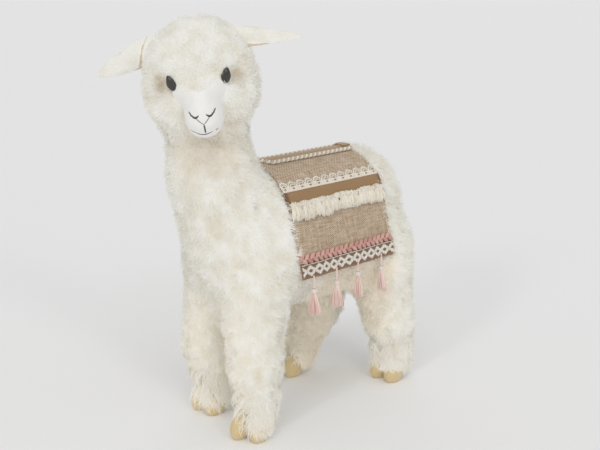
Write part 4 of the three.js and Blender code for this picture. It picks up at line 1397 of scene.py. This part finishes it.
def spunYarn(name, light, dark, fibre, finish):
    # the tone of each strand, and short fibres that lie along it
    material, tree, shader, place = startMaterial(name, {**fibreFinish(0.9, 0.2, 0.3, 0.5), **finish})
    tone = addNode(tree, "Attribute", {}, attribute_name="woolTone").outputs["Fac"]
    fuzz = addNode(tree, "TexNoise", {"Vector": place, "Scale": perMetre(fibre), "Detail": 3}).outputs[0]
    both = addNode(tree, "Math", {0: tone, 1: fuzz}, operation="ADD").outputs[0]
    amount = addNode(tree, "MapRange", {"Value": both, "From Min": 0.45, "From Max": 1.4}).outputs[0]
    colour = addNode(tree, "Mix", {0: amount, 6: dark, 7: light}, data_type="RGBA")
    connect(tree, shader, colour.outputs[2], fuzz, 0.06)
    return material


# the ridge: a cotton tape with its end folded into a block, and a twisted cord on each side
ridge = {"tapeHalf": 6.6, "tapeThick": 0.9, "crown": 2.9, "cordRun": 9.6, "cordRadius": 2.2, "lay": 6.4,
         "foldLength": 10.0, "foldHeight": 2.6}


def foldedTape():
    # plain cotton tape: matt tan, fine crosswise ribs, one pink thread along its middle
    finish = fibreFinish(0.92, 0.2, 0.2, 0.5)
    material, tree, shader, place = startMaterial("plainCottonTape", finish, flatCloth=True)
    rib = addNode(tree, "TexWave", {"Vector": place, "Scale": waveScale(1.4), "Distortion": 0.6, "Detail": 2},
                  bands_direction="Y").outputs["Fac"]
    base = mottled(tree, place, 9, "#b59a78", "#c9b190", 3)
    tan = addNode(tree, "Mix", {0: rib, 6: "#a98d6a", 7: base}, data_type="RGBA")
    run = addNode(tree, "SeparateXYZ", {0: place}).outputs["X"]
    far = addNode(tree, "Math", {0: run}, operation="ABSOLUTE").outputs[0]
    pink = addNode(tree, "MapRange", {
        "Value": far, "From Min": 1.0 * mm, "From Max": 1.6 * mm, "To Min": 1.0, "To Max": 0.0}).outputs[0]
    colour = addNode(tree, "Mix", {0: pink, 6: tan.outputs[2], 7: "#c8a093"}, data_type="RGBA")
    connect(tree, shader, colour.outputs[2], rib, 0.15)
    return material


def strip(runs, path, crown=0.0):  # a closed strip of cloth: path rows of (y, top, bottom), runs across
    runs, path = np.asarray(runs, float), np.asarray(path, float)
    y = path[:, :1] + 0 * runs
    arch = crown * np.sqrt(np.clip(1 - np.linspace(-1, 1, len(runs)) ** 4, 0, 1))
    top = onCloth(runs[None] + 0 * y, y, path[:, 1:2] + arch)
    bottom = onCloth(runs[None] + 0 * y, y, path[:, 2:3] + 0 * runs)
    ring = np.concatenate([top, bottom[:, ::-1]], axis=1)
    rows, columns = ring.shape[:2]
    ends = np.array([np.arange(columns)[::-1], (rows - 1) * columns + np.arange(columns)])
    flatRun = np.concatenate([runs, runs[::-1]])[None] + 0 * ring[..., 0]
    flatY = path[:, :1] + 0 * flatRun
    return ring.reshape(-1, 3), [gridFaces(rows, columns, wrap=True), ends], flatRun.ravel(), flatY.ravel()


def makeRidge():
    half, thick = ridge["tapeHalf"], ridge["tapeThick"]
    y = np.linspace(saddle["front"] + 0.6, saddle["rear"], 150)
    wander = 0.12 * np.sin(y * 0.9) + 0.08 * np.sin(y * 2.3)
    path = np.column_stack([y, thick + wander, -0.2 + 0 * y])
    tape = strip(np.linspace(-half, half, 25), path, ridge["crown"])
    start = saddle["rear"] - ridge["foldLength"]
    foldY = np.linspace(start, saddle["rear"] + 0.8, 16)
    bulge = np.sqrt(np.clip(np.sin(np.pi * np.linspace(0.04, 0.96, 16)), 0, 1))
    folds = [strip(np.linspace(-half * 0.94, half * 0.94, 13),
                   np.column_stack([foldY, low + rise * bulge, low + 0 * foldY]), 0.4)
             for low, rise in ((3.2, ridge["foldHeight"] * 0.55), (4.3, ridge["foldHeight"] * 0.5))]
    addTrim("ridge_tape", [tape] + folds, [foldedTape()], "ridge_ribbon")
    # mercerised cotton, two plies twisted hard: cream, a soft shine on each turn; one ply is painted darker
    # as painted shade in the grooves of the twist
    cordCotton = spunYarn("twistedCottonCord", "#f2ecdf", "#bcae97", 0.6, {"Roughness": 0.75})
    y = np.linspace(saddle["front"] - 0.5, saddle["rear"] + 0.5, 300)
    for name, side in sides.items():
        shapes, tones = [], []
        for start in (0, math.pi):
            turn = start + 2 * np.pi * y / ridge["lay"]
            offset = ridge["cordRadius"] * 0.5
            run = side * ridge["cordRun"] + offset * np.cos(turn)
            out = ridge["cordRadius"] + 0.1 + offset * np.sin(turn)
            shapes.append(laidStrands(run[None], y[None], out[None], ridge["cordRadius"] * 0.52, corners=8))
            # the second ply is much darker: painted shade between the turns
            tones.append(0.95 if start else 0.2)
        addTrim("ridge_twist_" + name, shapes, [cordCotton], "ridge_cord_" + name, tones)


makeRidge()
print("ridge trimmed")


# the lace: crocheted scallops with spokes over a narrow band with one hole below each scallop
lace = {"pitch": 11.7, "to": 51.2, "band": 4.4, "thread": 0.52, "hole": 3.0,
        "rows": ((6.2, 5.6, 1.3), (3.4, 3.2, 1.1)),  # half height, half width and weight of a scallop's rows
        "picot": 0.6}


def laceLoop(run, y, runRadius, yRadius, radius, turn=360, steps=9, out=0.5):
    t = np.radians(np.linspace(0, turn, steps))
    return run - runRadius * np.sin(t), y + yRadius * np.cos(t), np.full(steps, out), radius


def makeLace():
    # crocheted cotton lace: cream, matt, every thread round and a little uneven
    laceCotton = spunYarn("crochetedCottonLace", "#f8f1e5", "#dccfbc", 0.5, {})
    count = int((saddle["rear"] - saddle["front"]) / lace["pitch"]) + 1
    middle = (saddle["front"] + saddle["rear"]) / 2
    bandTop = lace["to"] - lace["band"]
    thread = lace["thread"]
    for name, side in sides.items():
        lines, solid = [], []
        for k in range(count):
            y = middle + (k - (count - 1) / 2) * lace["pitch"]
            if not saddle["front"] - 1 < y < saddle["rear"] + 1:
                continue
            for high, wide, heavy in lace["rows"]:
                lines.append(laceLoop(bandTop + 0.4, y, high, wide, thread * heavy, 180, 26, 0.55))
            for angle in range(18, 180, 24):  # spokes between the two rows, and the picots outside them
                a = math.radians(angle)
                run = bandTop - np.linspace(3.2, 5.9, 4) * math.sin(a) + 0.3
                lines.append((run, y + np.linspace(3.0, 5.4, 4) * math.cos(a), np.full(4, 0.5), thread * 0.9))
                run, spot = bandTop - 6.6 * math.sin(a), y + 6.1 * math.cos(a)
                lines.append(laceLoop(run, spot, lace["picot"], lace["picot"], thread * 0.8))
            half, hole = lace["pitch"] / 2, lace["hole"] / 2
            low, high = max(y - half, saddle["front"] - 1), min(y + half, saddle["rear"] + 1)
            for start, ends in ((bandTop, (low, y - hole)), (bandTop, (y + hole, high)),
                                (bandTop + 2.7, (y - hole, y + hole))):
                if ends[1] > ends[0] + 0.2:
                    path = np.column_stack([np.linspace(*ends, 6), np.full(6, 0.5), np.zeros(6)])
                    solid.append(strip(side * np.linspace(start, lace["to"], 5), path))
            for step in np.arange(-5.4, 5.5, 0.9):  # the columns of the band, with a hole at the middle
                if abs(step) > 1.8:
                    run = np.linspace(bandTop - 0.2, lace["to"], 4)
                    lines.append((run, np.full(4, y + step), np.full(4, 0.5), thread * 0.8))
        for run in (bandTop, lace["to"] - 1.5, lace["to"] - 0.5):
            y = np.linspace(saddle["front"], saddle["rear"], 160)
            lines.append((run + 0.12 * np.sin(y * 3.5), y, np.full(160, 0.6), thread * 1.3))
        shapes = []
        for run, y, out, radius in lines:
            y = np.clip(y, saddle["front"] - 1.2, saddle["rear"] + 1.2)
            run = run + 0.08 * chance.standard_normal(1)
            shapes.append(laidStrands(side * run[None], y[None], out[None], radius, flat=0.8))
        shapes += [part[:2] for part in solid]
        tones = 0.3 + 0.7 * chance.random(len(shapes))
        addTrim("lace_edging_" + name, shapes, [laceCotton], "lace_" + name, tones)


makeLace()
print("lace sewn on")


# the ribbon: its ends turned under the cloth's edges
ribbon = {"from": 51.6, "to": 63.6, "thick": 0.8, "past": 1.5}


def grosgrain():
    # petersham ribbon in tan: fine lengthwise cords, a low silky light, and painted shade where it is turned
    # under
    finish = fibreFinish(0.55, 0.4, 0.2, 0.4)
    material, tree, shader, place = startMaterial("cordedTanRibbon", finish, flatCloth=True)
    cords = addNode(tree, "TexWave", {
        "Vector": place, "Scale": waveScale(1.6), "Distortion": 0.4, "Detail": 2}).outputs["Fac"]
    drawn = addNode(tree, "Mapping", {"Vector": place, "Scale": (700, 25, 1)})
    streaks = addNode(tree, "TexNoise", {"Vector": drawn.outputs[0], "Scale": 1.0, "Detail": 3})
    base = addNode(tree, "Mix", {0: streaks.outputs[0], 6: "#916f4a", 7: "#b6936b"}, data_type="RGBA")
    tan = addNode(tree, "Mix", {0: cords, 6: "#9c7c57", 7: base.outputs[2]}, data_type="RGBA")
    y = addNode(tree, "SeparateXYZ", {0: place}).outputs["Y"]
    middle = addNode(tree, "Math", {0: y, 1: 25.6 * mm}, operation="SUBTRACT").outputs[0]
    far = addNode(tree, "Math", {0: middle}, operation="ABSOLUTE").outputs[0]
    # painted shade: dark brown over the ends, where the ribbon turns under the cloth's edge
    turned = addNode(tree, "MapRange", {"Value": far, "From Min": 63.5 * mm, "From Max": 67.5 * mm})
    colour = addNode(tree, "Mix", {0: turned.outputs[0], 6: tan.outputs[2], 7: "#6f4f31"}, data_type="RGBA")
    connect(tree, shader, colour.outputs[2], cords, 0.12)
    return material


def makeRibbons():
    material = grosgrain()
    turn = np.linspace(0, np.pi, 9)
    thick, past = ribbon["thick"], ribbon["past"]
    outer = (saddle["thick"] + 2 * thick) / 2
    level = thick - outer  # the height about which an end turns under
    rows = []
    for end, way in ((saddle["front"], -1), (saddle["rear"], 1)):
        reach = past + thick
        rows.append(np.column_stack([end + way * reach * np.sin(turn), level + outer * np.cos(turn),
                                     level + (outer - thick) * np.cos(turn)]))
    front, rear = rows[0][::-1], rows[1]
    y = np.linspace(saddle["front"] + 1, saddle["rear"] - 1, 90)
    rise = 0.15 + 0.2 * np.sin(y * 0.13) ** 2
    flat = np.column_stack([y, thick + rise, 0 * y])
    for name, side in sides.items():
        band = strip(side * np.linspace(ribbon["from"], ribbon["to"], 15), np.vstack([front, flat, rear]))
        addTrim("ribbon_band_" + name, [band], [material], "ribbon_" + name)


makeRibbons()
print("ribbon sewn on")


# the fringe: thick cut cotton in puffs, small ones at the top and larger ones that hang
fringe = {"from": 63.8, "puffs": 10, "radius": 0.74,
          "tiers": ({"start": 67.5, "reach": -5.0, "yarns": 20, "share": 2, "rise": 2.8},
                    {"start": 65.5, "reach": 15.5, "yarns": 60, "share": 1, "rise": 3.8})}


def makeFringe():
    # soft-spun cotton roving, cut and teased out: warm cream, matt, no two strands alike
    cotton = spunYarn("softSpunCotton", "#faf5ea", "#e7dcc7", 0.7, {"Sheen Weight": 0.5})
    for name, side in sides.items():
        shapes, tones = [], []
        for tier in fringe["tiers"]:
            puffs = fringe["puffs"] * tier["share"]
            pitch = (saddle["rear"] - saddle["front"]) / puffs
            n = puffs * tier["yarns"]
            centres = saddle["front"] + (np.arange(puffs) + 0.5) * pitch
            centres = centres + 0.05 * pitch * chance.standard_normal(puffs)
            centre = np.repeat(centres, tier["yarns"])[:, None]
            big = np.repeat(0.84 + 0.3 * chance.random(puffs), tier["yarns"])[:, None]
            u = chance.random((n, 1)) * 2 - 1
            layer = chance.random((n, 1))
            t = np.linspace(0, 1, 6)[None]
            full = np.sqrt(np.maximum(0.08, 1 - 0.85 * u ** 2))  # 1 in the middle of a puff
            reach = tier["reach"] * (0.82 + 0.2 * full) * (0.86 + 0.16 * chance.random((n, 1))) * big
            fan = 0.55 + 0.75 * np.sqrt(t)
            curl = chance.random((n, 1)) * 2 * np.pi + t * (7 + 5 * chance.random((n, 1)))
            y = centre + u * pitch * 0.47 * fan + 1.0 * np.sin(curl) * t
            y = np.clip(y, saddle["front"] - 3, saddle["rear"] + 2.5)
            bulge = np.sin(np.pi * np.minimum(1, 0.12 + 0.84 * t)) * tier["rise"] * (0.3 + 0.7 * layer)
            out = 0.7 + bulge * full * big + 0.4 * layer * t + 0.5 * (1 + np.cos(curl)) * t
            run = tier["start"] + reach * t + 0.3 * chance.standard_normal((n, 1))
            radii = fringe["radius"] * (0.75 + 0.5 * chance.random((n, 1))) * (1 - 0.3 * t ** 3)
            shapes.append(laidStrands(side * run, y, out, radii))
            tones.append(perStrand(n, shapes[-1], 0.9))
        addTrim("fringe_puffs_" + name, shapes, [cotton], "fringe_" + name, tones)


makeFringe()
print("fringe sewn on")


# the braid: plies laid in chevrons, with a dark and a light line under it
braid = {"from": 114.0, "to": 121.4, "pitch": 7.0, "ply": 2.3, "plyLength": 7.0, "plyReach": 4.4}


def makeBraids():
    # plaited wool yarn: dusty rose, matt and fuzzy, each ply fat in its middle
    rose = spunYarn("plaitedRoseWool", "#dfb0a4", "#b78474", 0.6, {"Sheen Weight": 0.3})
    count = int((saddle["rear"] - saddle["front"]) / braid["pitch"])
    t = np.linspace(0, 1, 6)[None]
    for name, side in sides.items():
        shapes, tones = [], []
        middle = (braid["from"] + braid["to"]) / 2
        for half in (-1, 1):
            k = np.arange(count)[:, None]
            y = saddle["front"] + 0.6 + (k + (0.5 if half > 0 else 0)) * braid["pitch"]
            y = y + braid["plyLength"] * t - 2.6
            y = np.clip(y, saddle["front"] - 0.8, saddle["rear"] + 0.8)
            run = middle + half * (-0.9 + braid["plyReach"] * np.sin(np.pi / 2 * t)) + 0 * k
            out = 0.7 + 1.1 * np.sin(np.pi * (0.25 + 0.72 * t)) + 0 * k
            radii = braid["ply"] * (0.3 + 0.7 * np.sin(np.pi * (0.06 + 0.88 * t))) + 0 * k
            plies = laidStrands(side * run, y, out, radii, corners=6, flat=0.75)
            shapes.append(plies)
            tones.append(perStrand(count, plies, 0.7))
        addTrim("braid_plait_" + name, shapes, [rose], "braid_" + name, tones)


makeBraids()
print("braid sewn on")


# the woven tape along the hem: a brown ground with raised white zigzags that cross
wovenTape = {"from": 121.6, "to": 136.4, "thick": 0.9, "unit": 11.0, "top": 124.4, "bottom": 134.4,
             "float": {"every": 0.86, "length": 3.4, "step": 0.9, "radius": 0.5},
             "lines": ((123.0, 1.05, 0.42), (121.9, 0.9, 0.5))}  # a white and a dark one


def wovenGround():
    # ribbed cotton and wool tape: brown, fine crosswise ribs, russet at the hem
    finish = fibreFinish(0.9, 0.25, 0.2, 0.5)
    material, tree, shader, place = startMaterial("ribbedBrownTape", finish, flatCloth=True)
    rib = addNode(tree, "TexWave", {"Vector": place, "Scale": waveScale(1.1), "Distortion": 0.5, "Detail": 2},
                  bands_direction="Y").outputs["Fac"]
    brown = mottled(tree, place, 1.3, "#7d634d", "#a0866e", 4)
    ground = addNode(tree, "Mix", {0: rib, 6: "#745b46", 7: brown}, data_type="RGBA")
    run = addNode(tree, "SeparateXYZ", {0: place}).outputs["X"]
    far = addNode(tree, "Math", {0: run}, operation="ABSOLUTE").outputs[0]
    hem = addNode(tree, "MapRange", {"Value": far, "From Min": 134.6 * mm, "From Max": 135.2 * mm})
    colour = addNode(tree, "Mix", {0: hem.outputs[0], 6: ground.outputs[2], 7: "#9a7058"}, data_type="RGBA")
    connect(tree, shader, colour.outputs[2], rib, 0.15)
    return material


def makeWovenTapes():
    ground = wovenGround()
    # bleached cotton floats standing on the ground: white, slightly uneven
    white = spunYarn("bleachedCottonFloats", "#f4f0e8", "#d6cdbf", 0.5, {})
    darkLine = spunYarn("darkBrownEdging", "#5c4536", "#463327", 0.5, {})
    yarn = wovenTape["float"]
    for name, side in sides.items():
        y = np.linspace(saddle["front"] - 0.3, saddle["rear"] + 0.3, 140)
        top = wovenTape["thick"] + 0.05 * np.sin(y * 2.9)
        runs = side * np.linspace(wovenTape["from"], wovenTape["to"], 19)
        shapes = [strip(runs, np.column_stack([y, top, -0.2 + 0 * y]))]
        places = np.arange(saddle["front"] + 0.7, saddle["rear"] - 0.3, yarn["every"])
        high = wovenTape["bottom"] - wovenTape["top"] - 2.4
        for phase in (0, 1):
            saw = np.abs(((places - saddle["front"]) / wovenTape["unit"] + phase) % 2 - 1)
            start = wovenTape["top"] + np.round(saw * high / yarn["step"]) * yarn["step"]
            t = np.array([0, 0.2, 0.5, 0.8, 1])[None]
            run = start[:, None] - 0.5 + yarn["length"] * t
            out = wovenTape["thick"] + np.array([-0.15, 0.28, 0.38, 0.28, -0.15])[None] + 0 * run
            y = places[:, None] + 0 * run
            shapes.append(laidStrands(side * run, y, out, yarn["radius"], corners=5, flat=0.8))
        line = np.linspace(saddle["front"], saddle["rear"], 120)[None]
        for run, out, radius in wovenTape["lines"]:
            shapes.append(laidStrands(side * run + 0 * line, line, out + 0 * line, radius, corners=5))
        addTrim("hem_tape_" + name, shapes, [ground, white, darkLine], "jacquard_" + name,
                [chance.random(len(shape[0])) for shape in shapes], [0, 1, 1, 1, 2])


makeWovenTapes()
print("woven tape sewn on")


# the tassels: a twisted thread, a white binding and a cut skirt
tassel = {"places": (-28.435, 4.565, 34.565, 72.565), "out": 1.4, "string": 12.5, "wrap": 4.5, "skirt": 22,
          "cord": {"radius": 0.5, "offset": 0.42, "twist": 2.0}, "binding": {"radius": 0.48, "turns": 6},
          "wrapRadius": 2.6, "skirtRadii": (6.6, 7.0, 4.8, 5.4), "yarns": 76, "yarnRadius": 0.45,
          "lean": (1.6, 1.0, 0.3, 1.8), "hang": (0, -1.5, -4, -2)}


def hung(x, y, drop, top, lean):  # points round the line of a tassel, which leans to the rear
    fall = tassel["string"] + tassel["wrap"] + tassel["skirt"]
    aside = np.stack([0 * drop, lean * (drop / fall) ** 1.5, 0 * drop], -1)
    return top + np.stack([x, y, -drop], -1) + aside


def makeTassels():
    # rayon embroidery floss: salmon pink with a gentle silk light, the cut ends uneven
    floss = spunYarn("salmonRayonFloss", "#ffece5", "#f3cabd", 0.7, {"Roughness": 0.6, "Sheen Weight": 0.4})
    # waxed white thread wound round the neck
    binding = spunYarn("whiteBindingThread", "#f6f0ea", "#d9cdc4", 0.5, {"Roughness": 0.7})
    n, wrapRadius, cord, wound = tassel["yarns"], tassel["wrapRadius"], tassel["cord"], tassel["binding"]
    aside, upwards = np.array([[1.0, 0, 0]]), np.array([[0.0, 0, 1]])
    for name, side in sides.items():
        hem = onCloth(side * (saddleRun - 1.0), np.array(tassel["places"]), tassel["out"])
        for i, (spot, lean, lower) in enumerate(zip(hem, tassel["lean"], tassel["hang"])):
            top = spot + (0, 0, 0.8) - (0, 0, lower)
            shapes, tones = [], []
            drop = np.linspace(0, tassel["string"] + 1.5, 26)
            for start in (0, math.pi):
                turn = start + drop * cord["twist"]
                path = hung(cord["offset"] * np.cos(turn), cord["offset"] * np.sin(turn), drop, top, lean)
                radii = np.full((1, 26), cord["radius"])
                shapes.append(strandShape(path[None], radii, aside, 5, pointed=False))
                tones.append(0.5)
            t = np.linspace(0, 1, 7)[None]
            angle = chance.random((n, 1)) * 2 * np.pi
            layer = np.sqrt(chance.random((n, 1)))
            length = tassel["wrap"] + tassel["skirt"] * (0.9 + 0.11 * chance.random((n, 1)))
            down = tassel["string"] - 0.6 + (length + 1.2) * t
            neck = smoothStep(0.0, 0.16, t) * 0.55 + 0.45 * smoothStep(0.16, 0.3, t)
            flare = (tassel["skirtRadii"][i] - 2.2) * smoothStep(0.18, 1.0, t)
            wide = layer * (wrapRadius * 0.85 * neck + flare)
            twist = angle + 0.25 * np.sin(3 * t + angle)
            paths = hung(wide * np.cos(twist), wide * np.sin(twist) * 0.98, down, top, lean)
            radii = tassel["yarnRadius"] * (0.8 + 0.4 * chance.random((n, 1))) * (1 - 0.2 * t)
            shapes.append(strandShape(paths, radii, np.repeat(aside, n, 0) + 0.01, 4, pointed=False))
            tones.append(perStrand(n, shapes[-1], 0.9))
            turn = np.linspace(0, 2 * np.pi * wound["turns"], 130)
            drop = tassel["string"] + 0.4 + tassel["wrap"] * 0.8 * turn / turn[-1]
            coil = hung(wrapRadius * 0.9 * np.cos(turn), wrapRadius * 0.9 * np.sin(turn), drop, top, lean)
            radii = np.full((1, 130), wound["radius"])
            shapes.append(strandShape(coil[None], radii, upwards, 5, pointed=False))
            tones.append(0.6)
            addTrim(f"tassel_drop_{name}_{i + 1}", shapes, [floss, binding],
                    f"tassel_{name}_{i + 1}", tones, [0, 0, 0, 1])


makeTassels()
print("tassels hung")


# loose threads at the torn edges of the linen
fray = {"spacing": 0.9, "length": 2.6, "hemLength": 1.6, "radius": 0.22,
        "pink": {"count": 26, "spread": 7.0, "radius": 0.2}}  # at the ridge's front end


def makeFray():
    # single linen threads pulled out of the weave, with a few pink ones where the tape was cut
    linen = spunYarn("looseLinenThread", "#c4b08f", "#8f7a5a", 0.5, {})
    pink = spunYarn("loosePinkThread", "#dcb1a6", "#b98a80", 0.5, {})
    shapes, tones = [], []

    def pullThreads(run, y, out, radius):
        shapes.append(laidStrands(run, y, out, radius, corners=3, pointed=True))
        tones.append(perStrand(len(run), shapes[-1], 1.0))

    run = np.arange(-saddleRun, saddleRun, fray["spacing"])[:, None]
    t = np.linspace(0, 1, 4)[None]
    for end, way in ((saddle["front"], -1), (saddle["rear"], 1)):
        length = fray["length"] * (0.25 + 1.0 * chance.random(run.shape) ** 2)
        y = end + way * (length * t - 0.8)
        out = -0.7 + 0.5 * chance.standard_normal(run.shape) * (0.4 + t)
        pullThreads(run + 0.9 * chance.standard_normal(run.shape) * t, y, out, fray["radius"])
    y = np.arange(saddle["front"], saddle["rear"], fray["spacing"] * 1.3)[:, None]
    for side in sides.values():
        length = fray["hemLength"] * (0.3 + chance.random(y.shape))
        hem = side * (saddleRun - 0.6 + length * t)
        pullThreads(hem, y + 0.5 * chance.standard_normal(y.shape) * t, -0.8 + 0 * hem, fray["radius"])
    t = np.linspace(0, 1, 5)[None]
    shape = (fray["pink"]["count"], 1)
    length = 2.0 + 3.6 * chance.random(shape)
    start = fray["pink"]["spread"] * chance.standard_normal(shape)
    run = start + 1.6 * chance.standard_normal(shape) * t
    out = 0.4 + 1.8 * (chance.random(shape) - 0.4) * t
    pullThreads(run, saddle["front"] + 1 - length * t, out, fray["pink"]["radius"])
    addTrim("frayed_edges", shapes, [linen, pink], None, tones, [0, 0, 0, 0, 1])


makeFray()
